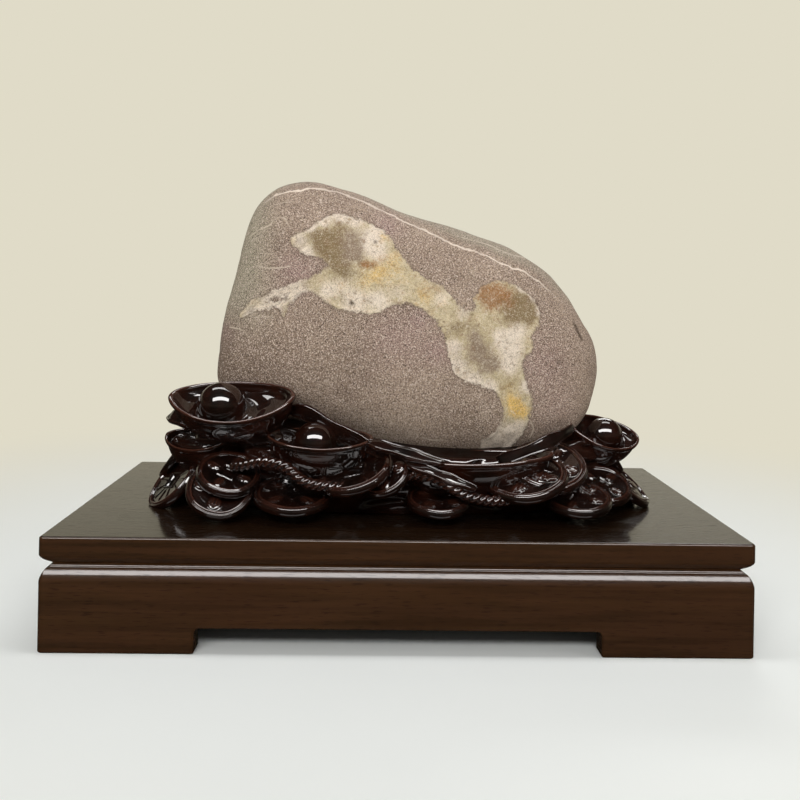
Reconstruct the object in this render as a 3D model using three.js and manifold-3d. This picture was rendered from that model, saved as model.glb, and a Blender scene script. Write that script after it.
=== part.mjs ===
// A scholar's rock: a purple-grey river stone seated in a carved hardwood stand of coins, ingots and cord,
// on a two-tier rectangular plinth with four bracket feet.
// Millimetres, +Z up. The origin is the centre of the plinth's footprint, on the surface it stands on.
// The stone's marked face looks along -Y.
import * as THREE from "three";
import { mergeVertices } from "three/addons/utils/BufferGeometryUtils.js";
import Module from "manifold-3d";

const wasm = await Module();
wasm.setup();

// ---------------------------------------------------------------- driving dimensions
const PLINTH = { length: 380, depth: 210, height: 61, cornerRadius: 4 };
const TOP_BOARD_THICKNESS = 13.5;
const TOP_BOARD_COVE = 4.5;
const EASED_EDGE = 1;
const WAIST = { height: 3, inset: 6 };
const APRON = { thickness: 14, shoulder: 6 };
const FEET = { alongFront: 82, alongSide: 50, clearance: 13.5, cornerRadius: 3 };
const MITRE_GAP = 0.3;
const CONTACT_GAP = 0.4;
const SMALLEST_DETAIL = 0.3;

const BOARD_BOTTOM = PLINTH.height - TOP_BOARD_THICKNESS;
const WAIST_BOTTOM = BOARD_BOTTOM - WAIST.height;
const SEAT_FLOOR = PLINTH.height;

const COIN_THICKNESS = 5;
const COIN_SIDES = 16;
const CORD_RADIUS = 2.4;

const STONE_GRID = { around: 36, along: 18 };

// The stone is one outline, seen from the front, given a rounded thickness.
const STONE = { centre: [4, 170], halfThickness: 52, squareness: 2.6, lean: 0.04 };
const STONE_OUTLINE = [
  [-115, 134], [-114, 158], [-112, 178], [-107, 195], [-104, 209], [-100, 228], [-92, 246],
  [-79, 257], [-60, 261.5], [-40, 257], [5, 241.5], [44, 228.5], [77, 215], [93, 206],
  [106, 192], [116, 176], [124, 161], [126.5, 146], [124, 131], [116, 112], [104, 100],
  [84, 92], [50, 87], [8, 89], [-32, 99], [-70, 109], [-102, 118],
];

// The mound under the carving. Its top is a shelf that is lowest at SHELF.lowX and rises to both ends.
const MOUND = { halfLength: 136, halfDepth: 57, middle: -2, sides: 32 };
const SHELF = { lowest: 96, lowX: 50, leftRise: 0.0012, rightRise: 0.0025 };

// Coins: centre x y z, radius, tilt from flat, and the way the face looks (0 is +X, -90 is the front).
// The first twelve are on the front, the rest run round the back.
const COINS = [
  { at: [-136, -27, 74], radius: 20, tilt: 48, facing: -150 },
  { at: [-102, -64, 78], radius: 19.5, tilt: 37, facing: -82 },
  { at: [-61, -60, 74], radius: 23, tilt: 14, facing: -85 },
  { at: [23, -62, 73], radius: 19, tilt: 17, facing: -92 },
  { at: [104, -58, 73], radius: 20, tilt: 14, facing: -98 },
  { at: [141, -15, 75], radius: 21, tilt: 40, facing: -18 },
  { at: [-98, -61, 86], radius: 18.5, tilt: 30, facing: -72 },
  { at: [-25, -65, 89], radius: 22, tilt: 26, facing: -130 },
  { at: [-9, -64, 88.5], radius: 16.5, tilt: 46, facing: -118 },
  { at: [73, -61, 86], radius: 25, tilt: 21, facing: -116 },
  { at: [87, -55, 91.5], radius: 23, tilt: 28, facing: -92 },
  { at: [122, -42, 78], radius: 18, tilt: 26, facing: -78 },
  { at: [-136, 24, 74], radius: 20, tilt: 46, facing: 150 },
  { at: [-98, 56, 77], radius: 20, tilt: 34, facing: 95 },
  { at: [-56, 58, 73], radius: 22, tilt: 16, facing: 88 },
  { at: [-14, 58, 73], radius: 20, tilt: 22, facing: 84 },
  { at: [32, 58, 72], radius: 21, tilt: 16, facing: 92 },
  { at: [76, 57, 74], radius: 21, tilt: 24, facing: 84 },
  { at: [114, 42, 73], radius: 21, tilt: 26, facing: 62 },
  { at: [138, 6, 73], radius: 20, tilt: 36, facing: 10 },
  { at: [-78, 58, 88], radius: 20, tilt: 34, facing: 108 },
  { at: [8, 60, 87], radius: 21, tilt: 36, facing: 76 },
  { at: [52, 59, 88], radius: 20, tilt: 34, facing: 108 },
  { at: [-138, -1, 86], radius: 19, tilt: 54, facing: 178 },
  { at: [134, 8, 90], radius: 19, tilt: 52, facing: 4 },
];

// Ingots: centre, half length and half width of the rim, rise of its ends, radius of the egg,
// then yaw, pitch and roll in degrees. The first five are on the front.
const INGOTS = [
  { at: [-98, -43, 124.5], length: 37.5, width: 20, rise: 8, egg: 14, turn: [-6, -1, 20] },
  { at: [-49, -57, 107.5], length: 35, width: 18, rise: 2, egg: 13.5, turn: [2, 2, 9] },
  { at: [-121, -28, 100], length: 24, width: 14, rise: 5, egg: 9, turn: [-25, 0, 12] },
  { at: [129, -19, 103.5], length: 25, width: 15.5, rise: 4, egg: 12, turn: [16, 12, 10] },
  { at: [43, -56, 97], length: 47, width: 18, rise: 5, egg: 0, turn: [0, -1, 12] },
  { at: [-94, 44, 113], length: 36, width: 19, rise: 7, egg: 13, turn: [4, 0, -18] },
  { at: [-30, 54, 103], length: 35, width: 18, rise: 5, egg: 13, turn: [-3, 0, -16] },
  { at: [88, 45, 102], length: 35, width: 18, rise: 5, egg: 13, turn: [-8, 0, -16] },
  { at: [-122, 14, 107], length: 26, width: 15, rise: 5, egg: 11, turn: [68, 0, 14] },
];
const INGOT_DEPTH = 22;
const INGOT_SIDES = 16;

// The twisted cord that strings the coins: one run along the front left, one front right, two along the back.
const CORDS = [
  [[-97, -60, 90], [-89, -66, 92], [-79, -70, 95], [-64, -74, 93], [-54, -76, 86], [-38, -76, 83],
    [-24, -72, 82]],
  [[4, -68, 88], [12, -72, 89], [20, -74, 88], [28, -76, 84], [37, -76, 79], [54, -76, 76], [68, -72, 77]],
  [[-62, 66, 88], [-42, 70, 82], [-22, 71, 80], [-4, 68, 86]],
  [[22, 68, 86], [36, 72, 81], [46, 68, 86]],
];

// ---------------------------------------------------------------- small helpers
const radians = THREE.MathUtils.degToRad;

/** Vertices and triangles as a BufferGeometry. */
function indexed(points, triangles) {
  const geometry = new THREE.BufferGeometry();
  geometry.setAttribute("position", new THREE.Float32BufferAttribute(points.flat(), 3));
  geometry.setIndex(triangles.flat());
  return geometry;
}

/** A closed skin over rings of points. Each end is a fan to its own centre; endless rings meet instead. */
function skin(rings, endless = false) {
  const around = rings[0].length;
  const points = rings.flat();
  const triangles = [];
  const last = rings.length - (endless ? 0 : 1);
  for (let r = 0; r < last; r++) {
    const low = r * around;
    const high = ((r + 1) % rings.length) * around;
    for (let i = 0; i < around; i++) {
      const j = (i + 1) % around;
      triangles.push([low + i, low + j, high + j], [low + i, high + j, high + i]);
    }
  }
  if (!endless) {
    for (const [ring, turned] of [[rings[0], true], [rings[rings.length - 1], false]]) {
      const start = turned ? 0 : (rings.length - 1) * around;
      const hub = points.length;
      points.push([0, 1, 2].map((k) => ring.reduce((sum, p) => sum + p[k], 0) / around));
      for (let i = 0; i < around; i++) {
        const j = (i + 1) % around;
        triangles.push(turned ? [hub, start + j, start + i] : [hub, start + i, start + j]);
      }
    }
  }
  return indexed(points, triangles);
}

/** A solid for joining and cutting, its faces turned outwards. */
function solid(geometry) {
  const bare = geometry.clone();
  bare.deleteAttribute("normal");
  bare.deleteAttribute("uv");
  const merged = mergeVertices(bare, 1e-4);
  const make = (triVerts) => new wasm.Manifold(new wasm.Mesh({
    numProp: 3,
    vertProperties: new Float32Array(merged.attributes.position.array),
    triVerts,
  }));
  const made = make(new Uint32Array(merged.index.array));
  return made.volume() > 0 ? made : make(new Uint32Array(merged.index.array).reverse());
}

/** A solid's surface as a geometry again. */
function surface(manifold) {
  const mesh = manifold.getMesh();
  const geometry = new THREE.BufferGeometry();
  geometry.setAttribute("position", new THREE.BufferAttribute(new Float32Array(mesh.vertProperties), 3));
  geometry.setIndex(new THREE.BufferAttribute(new Uint32Array(mesh.triVerts), 1));
  return geometry;
}

/** A flat shape pushed along Z between two heights. */
function prism(corners, bottom, top) {
  const shape = new THREE.Shape(corners.map(([x, y]) => new THREE.Vector2(x, y)));
  return new THREE.ExtrudeGeometry(shape, { depth: top - bottom, bevelEnabled: false })
    .translate(0, 0, bottom);
}

/** A horizontal ring of points: the plinth's rounded rectangle, drawn in by inset, at height z. */
function plinthRing(inset, z) {
  const radius = Math.max(PLINTH.cornerRadius - inset, 0.5);
  const x = PLINTH.length / 2 - inset - radius;
  const y = PLINTH.depth / 2 - inset - radius;
  const steps = 4;
  const ring = [];
  for (const [quarter, [sx, sy]] of [[1, 1], [-1, 1], [-1, -1], [1, -1]].entries()) {
    for (let k = 0; k <= steps; k++) {
      const a = (quarter + k / steps) * Math.PI / 2;
      ring.push([sx * x + radius * Math.cos(a), sy * y + radius * Math.sin(a), z]);
    }
  }
  return ring;
}

/** A quarter-round moulding as [inset, height] pairs, from its recessed top to its full face. */
function shoulder(inset, top, drop, steps = 4) {
  return Array.from({ length: steps + 1 }, (_, k) => {
    const a = k / steps * Math.PI / 2;
    return [inset * (1 - Math.sin(a)), top - drop * (1 - Math.cos(a))];
  });
}

// ---------------------------------------------------------------- the plinth
/** The top board: a square-edged slab whose underside curves in to the waist. */
function topBoard() {
  const under = shoulder(WAIST.inset, 0, TOP_BOARD_COVE).map(([inset, z]) => [inset, BOARD_BOTTOM - z]);
  const profile = [...under, [0, PLINTH.height - EASED_EDGE], [EASED_EDGE, PLINTH.height]];
  return skin(profile.map(([inset, z]) => plinthRing(inset, z)));
}

/** A frame round the plinth with the given closed cross-section of [inset, height] pairs. */
function frame(profile) {
  return solid(skin(profile.map(([inset, z]) => plinthRing(inset, z)), true));
}

/** The four mitred quarters of a frame, keyed by side. */
function mitred(whole) {
  const x = PLINTH.length / 2;
  const y = PLINTH.depth / 2;
  const g = MITRE_GAP / Math.SQRT2;
  const over = PLINTH.height;
  const longSide = [[-x - over + g, -y - over], [x + over - g, -y - over], [x - y - g, 0], [y - x + g, 0]];
  const shortSide = [[-x - over, -y - over + g], [y - x, -g], [y - x, g], [-x - over, y + over - g]];
  const turned = (corners) => corners.map(([a, b]) => [-a, -b]);
  const wedges = { front: longSide, back: turned(longSide), left: shortSide, right: turned(shortSide) };
  return Object.entries(wedges).map(([side, corners]) =>
    [side, surface(whole.intersect(solid(prism(corners, -1, over))))]);
}

/** The waist: a plain recessed strip between the top board and the aprons. */
function waistFrame() {
  const inner = APRON.thickness;
  return frame([[inner, WAIST_BOTTOM], [WAIST.inset, WAIST_BOTTOM],
    [WAIST.inset, BOARD_BOTTOM], [inner, BOARD_BOTTOM]]);
}

/** The opening between two feet: a low arch with rounded upper corners, pushed right through along Y. */
function footGap(width) {
  const w = width / 2;
  const h = FEET.clearance;
  const r = FEET.cornerRadius;
  const arch = new THREE.Shape();
  arch.moveTo(-w, -1);
  arch.lineTo(-w, h - r);
  arch.absarc(-w + r, h - r, r, Math.PI, Math.PI / 2, true);
  arch.absarc(w - r, h - r, r, Math.PI / 2, 0, true);
  arch.lineTo(w, -1);
  const reach = PLINTH.length;
  return new THREE.ExtrudeGeometry(arch, { depth: reach, bevelEnabled: false, curveSegments: 4 })
    .rotateX(Math.PI / 2).translate(0, reach / 2, 0);
}

/** The apron frame with its moulded shoulder, cut into bracket feet. */
function apronFrame() {
  const inner = APRON.thickness;
  const ring = frame([[inner, 0], [EASED_EDGE, 0], [0, EASED_EDGE],
    ...shoulder(WAIST.inset, WAIST_BOTTOM, APRON.shoulder).reverse(), [inner, WAIST_BOTTOM]]);
  const alongFront = footGap(PLINTH.length - 2 * FEET.alongFront);
  const alongSide = footGap(PLINTH.depth - 2 * FEET.alongSide).rotateZ(Math.PI / 2);
  return ring.subtract(solid(alongFront)).subtract(solid(alongSide));
}

// ---------------------------------------------------------------- the stone
/** The stone's skin. Rings run from the front pole to the back pole; grow pushes the skin outwards. */
function stone({ around, along }, grow = 0) {
  const { centre, halfThickness, squareness, lean } = STONE;
  const curve = new THREE.CatmullRomCurve3(STONE_OUTLINE.map(([x, z]) => new THREE.Vector3(x, 0, z)), true);
  const outline = curve.getSpacedPoints(around).slice(0, around);
  const power = 2 / squareness;
  const rings = [];
  for (let r = 1; r < along; r++) {
    const a = (r / along - 0.5) * Math.PI;
    const spread = Math.cos(a) ** power;
    const depth = Math.sign(a) * Math.abs(Math.sin(a)) ** power;
    rings.push(outline.map((p) => {
      const dx = p.x - centre[0];
      const dz = p.z - centre[1];
      const share = spread * (1 + grow / Math.hypot(dx, dz));
      const z = centre[1] + dz * share;
      return [centre[0] + dx * share, depth * (halfThickness + grow) + lean * (z - centre[1]), z];
    }));
  }
  return skin(rings);
}

// ---------------------------------------------------------------- the carved stand
const shelfHeight = (x) => {
  const d = x - SHELF.lowX;
  return SHELF.lowest + (d < 0 ? SHELF.leftRise : SHELF.rightRise) * d * d;
};

/** The mound: an oval block, narrower at its foot, whose top follows the shelf. */
function mound() {
  const layers = [[0, 0.8], [0.25, 0.86], [0.6, 0.96], [0.9, 0.98], [1, 0.93]];
  const round = (t) => Math.sign(t) * Math.abs(t) ** 0.8;
  return skin(layers.map(([rise, share]) => Array.from({ length: MOUND.sides }, (_, i) => {
    const a = i / MOUND.sides * 2 * Math.PI;
    const x = MOUND.halfLength * share * round(Math.cos(a));
    const y = MOUND.middle + MOUND.halfDepth * share * round(Math.sin(a));
    return [x, y, SEAT_FLOOR + rise * (shelfHeight(x) - SEAT_FLOOR)];
  })));
}

/** One coin: a plain thick disc, tilted and turned. */
function coin({ at, radius, tilt, facing }) {
  return new THREE.CylinderGeometry(radius, radius, COIN_THICKNESS, COIN_SIDES)
    .rotateX(Math.PI / 2).rotateY(radians(tilt)).rotateZ(radians(facing)).translate(...at);
}

/** One ingot: a boat with raised ends and an egg in its middle. Rings run from the egg's top to the keel. */
function ingot({ at, length, width, rise, egg, turn }) {
  const ring = (radius, share, z, lift) => Array.from({ length: INGOT_SIDES }, (_, i) => {
    const a = i / INGOT_SIDES * 2 * Math.PI;
    const c = Math.cos(a);
    const s = Math.sin(a);
    return [(radius || length * share) * c, (radius || width * share) * s, z + lift * rise * c * c];
  });
  const valley = -0.4 * egg;
  const inside = egg > 0
    ? [ring(0.4 * egg, 0, 0.7 * egg, 0), ring(0.8 * egg, 0, 0.35 * egg, 0), ring(egg, 0, valley, 0)]
    : [ring(0, 0.45, -8, 0)];
  const hull = [ring(0, 0.9, -2.5, 1), ring(0, 1, 0, 1), ring(0, 0.98, -2, 1), ring(0, 0.92, -4, 0.8),
    ring(0, 0.9, -9, 0.4), ring(0, 0.72, -16, 0), ring(0, 0.5, -INGOT_DEPTH, 0)];
  const [yaw, pitch, roll] = turn.map(radians);
  return skin([...inside, ...hull]).rotateX(roll).rotateY(pitch).rotateZ(yaw).translate(...at);
}

/** One run of cord: a hexagonal tube along a smooth curve. */
function cord(points) {
  const path = new THREE.CatmullRomCurve3(points.map((p) => new THREE.Vector3(...p)));
  const section = new THREE.Shape(Array.from({ length: 6 }, (_, i) => {
    const a = i / 6 * 2 * Math.PI;
    return new THREE.Vector2(CORD_RADIUS * Math.cos(a), CORD_RADIUS * Math.sin(a));
  }));
  return new THREE.ExtrudeGeometry(section, {
    extrudePath: path,
    steps: 3 * points.length,
    bevelEnabled: false,
  });
}

/** The whole carving as one solid: everything joined, hollowed for the stone and cut off flat underneath. */
function carvedStand() {
  const pieces = [mound(), ...COINS.map(coin), ...INGOTS.map(ingot), ...CORDS.map(cord)].map(solid);
  const joined = pieces.reduce((whole, piece) => whole.add(piece));
  const below = prism([[-200, -200], [200, -200], [200, 200], [-200, 200]], 0, SEAT_FLOOR);
  const hollowed = joined.subtract(solid(stone(STONE_GRID, CONTACT_GAP))).subtract(solid(below));
  const parts = hollowed.decompose().sort((a, b) => b.volume() - a.volume());
  return surface(parts[0].simplify(SMALLEST_DETAIL));
}

// ---------------------------------------------------------------- assembly
const FINISHES = {
  stone: { color: 0x917c6b, roughness: 0.85, metalness: 0 },
  carving: { color: 0x2a130c, roughness: 0.18, metalness: 0 },
  plinth: { color: 0x38220f, roughness: 0.4, metalness: 0 },
};

/** A named mesh with one of the finishes. */
function piece(name, geometry, finish) {
  const mesh = new THREE.Mesh(geometry, new THREE.MeshStandardMaterial(FINISHES[finish]));
  mesh.name = name;
  return mesh;
}

const plinth = new THREE.Group();
plinth.add(piece("top_board", topBoard(), "plinth"));
for (const [side, geometry] of mitred(waistFrame())) plinth.add(piece(`waist_${side}`, geometry, "plinth"));
for (const [side, geometry] of mitred(apronFrame())) plinth.add(piece(`apron_${side}`, geometry, "plinth"));

const scholarsRock = new THREE.Group();
scholarsRock.add(plinth);
scholarsRock.add(piece("carved_stand", carvedStand(), "carving"));
scholarsRock.add(piece("stone", stone(STONE_GRID), "stone"));

export default scholarsRock;
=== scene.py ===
"""A scholar's rock: a purple-grey river stone with a quartz vein, seated in a lacquered stand carved as
coins, ingots and cord, on a two-tier hardwood plinth.

The fixed frame gives the places. The object's lengths are millimetres, and they become metres when a mesh
is made. The floor, the lights and the camera are in metres.
"""
import math

import bpy
import numpy as np
from mathutils import Matrix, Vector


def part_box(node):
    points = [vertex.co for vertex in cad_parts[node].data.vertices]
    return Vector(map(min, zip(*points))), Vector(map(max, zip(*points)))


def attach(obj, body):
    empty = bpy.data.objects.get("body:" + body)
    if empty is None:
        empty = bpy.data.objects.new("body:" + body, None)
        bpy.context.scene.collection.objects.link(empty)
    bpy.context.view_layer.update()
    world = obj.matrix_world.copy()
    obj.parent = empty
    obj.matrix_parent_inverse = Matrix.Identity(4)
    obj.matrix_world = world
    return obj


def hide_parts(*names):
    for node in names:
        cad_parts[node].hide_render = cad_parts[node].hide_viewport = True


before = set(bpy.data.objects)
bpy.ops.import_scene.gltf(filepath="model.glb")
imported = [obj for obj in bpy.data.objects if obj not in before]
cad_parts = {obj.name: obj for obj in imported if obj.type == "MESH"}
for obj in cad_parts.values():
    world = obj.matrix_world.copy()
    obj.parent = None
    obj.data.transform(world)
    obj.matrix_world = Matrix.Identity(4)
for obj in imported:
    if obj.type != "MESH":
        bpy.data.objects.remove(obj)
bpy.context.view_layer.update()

MM = 0.001


def node_box(name):
    """The lowest and highest corner of a frame node, in millimetres."""
    low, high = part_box(name)
    return np.array(low) / MM, np.array(high) / MM


# ---------------------------------------------------------------- places and sizes
BOARD_LOW, BOARD_HIGH = node_box("top_board")
APRON_HIGH = node_box("apron_front")[1]
STONE_HIGH = node_box("stone")[1]
SEAT = BOARD_HIGH[2]
PLINTH_LENGTH = 2 * BOARD_HIGH[0]
PLINTH_DEPTH = 2 * BOARD_HIGH[1]
APRON_TOP = APRON_HIGH[2]
CORNER_RADIUS = 2.6
MITRE_SHADOW = 0.05

# The stone is an outline, seen from the front, given a rounded thickness about its centre.
STONE_CENTRE = np.array([4.0, 170.0])
STONE_THICKNESS = 52.0
STONE_SQUARENESS = 2.6
STONE_LEAN = 0.04
STONE_OUTLINE = [
    (-112.8, 134), (-112.2, 158), (-109.8, 178), (-105.8, 195), (-103.2, 209), (-99.8, 228), (-91.5, 246),
    (-79, 257), (-60, 261.4), (-40, 257.2), (5, 242.2), (44, 229.8), (77, 216.4), (94, 206), (106.5, 192),
    (116, 176.5), (124, 161), (126.4, 146), (124, 131), (116, 112), (104, 100), (84, 92), (50, 87), (8, 89),
    (-32, 99), (-70, 109), (-102, 118),
]

# The quartz vein on the marked face, as x and z.
VEIN = [
    (-66, 221), (-63, 225), (-56, 227.5), (-52, 232), (-46, 235.5), (-38, 238), (-30, 236.6), (-17, 232),
    (-9.5, 227), (-3, 217), (4, 208), (14, 200.8), (24, 195.5), (31, 188), (37, 182), (42, 182.5),
    (43, 190), (49, 197.5), (58, 200), (67, 198), (77, 191.5), (82.9, 181), (82, 173), (77.5, 168),
    (78.5, 160), (72.5, 152), (74.5, 141), (78.5, 128), (77.5, 118.5), (73.7, 107.7), (66, 98), (56, 95),
    (48.5, 97.5), (49.5, 103.5), (55.5, 108.5), (61, 117), (57, 133), (46, 138), (33, 143), (28.5, 152.7),
    (25.5, 166), (17, 179), (7, 184.5), (-6, 184.7), (-14, 179.5), (-27, 180.3), (-38, 181.6),
    (-44, 185.5), (-57, 191.6), (-63, 187.5), (-67, 183.5), (-69.5, 177.6), (-71.3, 181), (-83, 180.6),
    (-91, 179.2), (-97, 175.3), (-94, 181), (-85, 186.8), (-75, 191.6), (-62, 196.2), (-49, 203),
    (-43.8, 207), (-50, 211.6), (-58, 213.4), (-62, 217.6),
]
VEIN_EYE = [(-84, 185.6), (-78.5, 188.2), (-73, 188.6), (-69.5, 186.6), (-74.5, 184.6), (-80, 184.6)]
# Stains in the quartz, each as x, z, radius and strength.
RUST = [
    (-22.5, 208.5, 2.6, 1.1), (-18, 208, 2.8, 1.0), (-12.5, 210, 3.5, 0.45), (48, 193, 5.0, 1.1),
    (56, 193.5, 6.0, 1.2), (63, 190, 5.5, 0.9), (53, 186, 5.5, 0.9), (14, 192, 3.8, 0.5),
    (19, 195.5, 3.0, 0.45), (70.5, 122.5, 3.5, 0.25),
]
OCHRE = [
    (70, 123.5, 5.5, 1.3), (66, 128.5, 4.5, 0.8), (75, 121, 3.0, 0.7), (-14, 205, 6.0, 0.55),
    (-11, 225.5, 3.0, 0.7), (-5, 212, 5.0, 0.4), (13, 190, 5.5, 0.55), (-3, 201, 7.0, 0.35),
    (-20, 199, 7.0, 0.4), (24, 186, 4.0, 0.25), (-66, 220, 3.5, 0.3), (64, 137, 5.0, 0.4),
    (-36, 196, 5.0, 0.3),
]
OLIVE = [
    (-48, 222, 6.0, 1.3), (-41, 221, 6.5, 1.3), (-43, 214, 7.0, 1.3), (-36, 231, 5.0, 0.8),
    (-35, 204, 6.0, 1.0), (-28, 202, 3.5, 0.5), (-51, 227, 3.5, 0.5), (-38, 208, 5.0, 0.7),
    (71, 187, 8.0, 1.3), (77, 180, 6.0, 1.3), (65, 182, 7.5, 1.15), (-3, 187, 4.0, 0.5),
    (31, 171.5, 4.0, 0.8), (38, 172, 4.0, 0.8), (45, 172.5, 3.0, 0.5), (64, 138, 5.0, 0.45),
    (-35, 190.5, 3.0, 0.35), (60, 133, 4.0, 0.3),
]
ASH = [
    (-31, 224, 6.0, 1.0), (-28, 218, 6.0, 0.9), (-32, 213, 6.0, 0.8), (-26, 212, 4.0, 0.6),
    (43, 167, 5.0, 0.9), (45, 160, 5.5, 1.0), (50, 154, 6.5, 1.0), (55, 150, 4.5, 0.9),
    (40, 154, 4.0, 0.5), (78, 189, 3.0, 0.5), (-80, 187, 3.0, 0.8), (48, 146, 4.0, 0.5),
    (-22, 227, 3.0, 0.4),
]
CHALK = [
    (-37, 236, 4.5, 1.2), (-29, 235, 4.5, 1.0), (-61, 222, 4.0, 0.9), (-56, 215, 4.0, 0.9),
    (-20, 222, 7.0, 1.0), (-47, 233, 3.5, 1.1), (-54, 229, 3.0, 1.0), (-15, 228, 5.0, 0.8),
    (-36, 196, 6.0, 0.6), (-2, 193, 5.0, 0.5), (-14, 216, 6.0, 0.7), (-28, 186, 7.0, 1.0),
    (-14, 187, 6.5, 0.9), (-44, 192, 5.0, 0.8), (-62, 191, 7.0, 0.9), (-78, 183, 7.0, 1.0),
    (-90, 178, 5.0, 0.8), (-72, 190, 5.0, 0.9), (31, 161, 4.5, 0.9), (33, 149, 6.0, 1.0),
    (43, 141, 5.5, 1.0), (53, 137, 4.5, 0.9), (60, 166, 6.0, 1.0), (66, 160, 6.5, 1.0),
    (70, 171, 5.0, 0.9), (64, 150, 6.0, 0.9), (75, 137, 4.0, 0.9), (65, 107, 7.5, 1.2),
    (56, 101, 7.5, 1.15), (72, 114, 4.0, 0.6), (23, 188, 5.0, 0.6), (36, 180, 4.5, 0.5),
    (72, 196, 3.0, 0.9), (79, 191, 3.0, 0.8), (82, 182, 2.5, 0.9),
]
# Where the quartz thins to threads over the rock, as the stains are.
LACE = [
    (32, 158, 5.0, 0.8), (36, 147, 6.0, 0.9), (47, 140, 5.0, 0.8), (60, 99, 6.0, 0.6), (27, 170, 3.0, 0.5),
]
# Chalky whitening on the bare rock, and painted light where the rock is lightened low down.
BLOOM_AND_PAINTED_LIGHT = [
    (-84, 192, 6.0, 0.5), (-88, 176, 6.0, 0.5), (-60, 181, 7.0, 0.3), (-50, 165, 10.0, 0.35),
    (-28, 164, 8.0, 0.3), (51, 122, 6.0, 0.9), (50, 102, 9.0, 0.7), (42, 204, 3.5, 0.9),
    (36, 196, 4.0, 0.3), (-70, 236, 10.0, 0.3), (-44, 244, 9.0, 0.25), (-6, 104, 8.0, 0.5),
    (6, 106, 8.0, 0.4), (-19, 114, 7.0, 0.9), (-28, 120, 6.0, 0.6), (-96, 227, 9.0, 0.3),
    (-37, 127, 5.0, 0.4), (8, 120, 12.0, 0.3), (-50, 140, 10.0, 0.3), (-8, 108, 20.0, 0.45),
    (32, 103, 13.0, 0.4),
]
# Painted shade: spots where the rock is painted darker, above all low on the left.
PAINTED_SHADE_SPOTS = [
    (-100, 140, 28, 0.95), (-66, 122, 26, 0.6), (30, 112, 13, 0.3), (36, 118, 14, 0.3),
    (-30, 150, 18, 0.25), (92, 104, 14, 0.5), (0, 216, 9, 0.2), (28, 200, 7, 0.3), (-110, 165, 8, 0.3),
    (2, 181, 9, 0.45), (44, 112, 10, 0.3), (-112, 150, 12, 0.4),
]
# The quartz's stains, with the bare rock's chalky whitening, its painted light and its painted shade.
STAINS_AND_PAINTED_LIGHT = {
    "rust": RUST, "ochre": OCHRE, "olive": OLIVE, "ash": ASH, "chalk": CHALK, "bloom_and_light": BLOOM_AND_PAINTED_LIGHT, "painted_shade": PAINTED_SHADE_SPOTS,
}
# Pinker rock, dark pits, and one dark scratch near the right edge.
BLUSH = [
    (-62, 203, 13, 0.7), (-2, 166, 18, 0.5), (-10, 232, 9, 0.6), (84, 150, 18, 0.45), (22, 158, 9, 0.6),
    (-108, 165, 7, 0.6), (10, 176, 6, 0.5), (96, 122, 14, 0.35),
]
PITS = [
    (-29.5, 185.3, 1.3, 1.1), (-16, 222, 1.1, 0.8), (95, 152, 1.2, 0.8), (-38.5, 163, 0.8, 0.4),
    (-72, 244, 1.0, 0.6), (-65, 243, 0.9, 0.5), (-61, 246, 0.8, 0.4), (-69, 187.4, 1.1, 0.7),
    (99, 143, 0.9, 0.5),
]
SCRATCH = [(107.0, 174.5), (109.0, 169.0), (111.0, 165.5)]
# The white line along the shoulder of the stone, and fainter hairlines on the marked face.
SHOULDER_LINE = [
    (-104, 236), (-86, 244.8), (-78, 249.9), (-69, 252), (-60, 253), (-50, 253.1), (-40, 251.9),
    (-29, 248.8), (-14, 242.7), (1.7, 235.1), (14, 229.7), (27, 222.6), (37, 218.8), (50, 215.2),
    (60, 209.9), (75, 205), (88, 196), (104, 183),
]
HAIRLINES = [
    [(-94, 225.4), (-87, 229.1), (-80.6, 231.2), (-76.8, 235), (-71.3, 235.3), (-67.9, 230.2)],
    [(-77, 243.7), (-72, 244.9), (-65, 245.3)],
    [(-88.5, 206.7), (-81, 205.2), (-73, 205.4), (-67, 206.2)],
    [(-88, 175.4), (-81, 176.1), (-76, 175.9)],
    [(-104, 168.8), (-96, 167.4), (-90.4, 163)],
    [(14, 105.2), (20.7, 103.6), (26, 103.9)],
    [(78, 117), (80.4, 111.8), (79.3, 106.5)],
    [(78, 214.6), (66, 216.8), (52, 222.8), (36, 226.6)],
]
BACK_LINES = [
    [(-96, 214), (-70, 222), (-38, 220), (-10, 205), (22, 190), (60, 184), (98, 170)],
    [(-72, 150), (-52, 160), (-30, 158), (-8, 148)],
    [(28, 148), (46, 138), (70, 136), (92, 126)],
]

# The carved stand: the mound and its shelf, coins, ingots and cords, in the order that the part has them.
MOUND = {"half_length": 136.0, "half_depth": 57.0, "middle": -2.0}
# The mound's section from the foot up: share of its height, share of its reach.
MOUND_SECTION = [
    (0, 0.80), (0.12, 0.82), (0.35, 0.90), (0.6, 0.965), (0.82, 0.985), (0.95, 0.975), (1.0, 0.94),
    (0.99, 0.86),
]
SHELF = {"lowest": 96.0, "low_x": 50.0, "left_rise": 0.0012, "right_rise": 0.0025, "left_most": 22.0,
         "right_most": 10.0}
COIN_THICKNESS = 4.2
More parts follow.
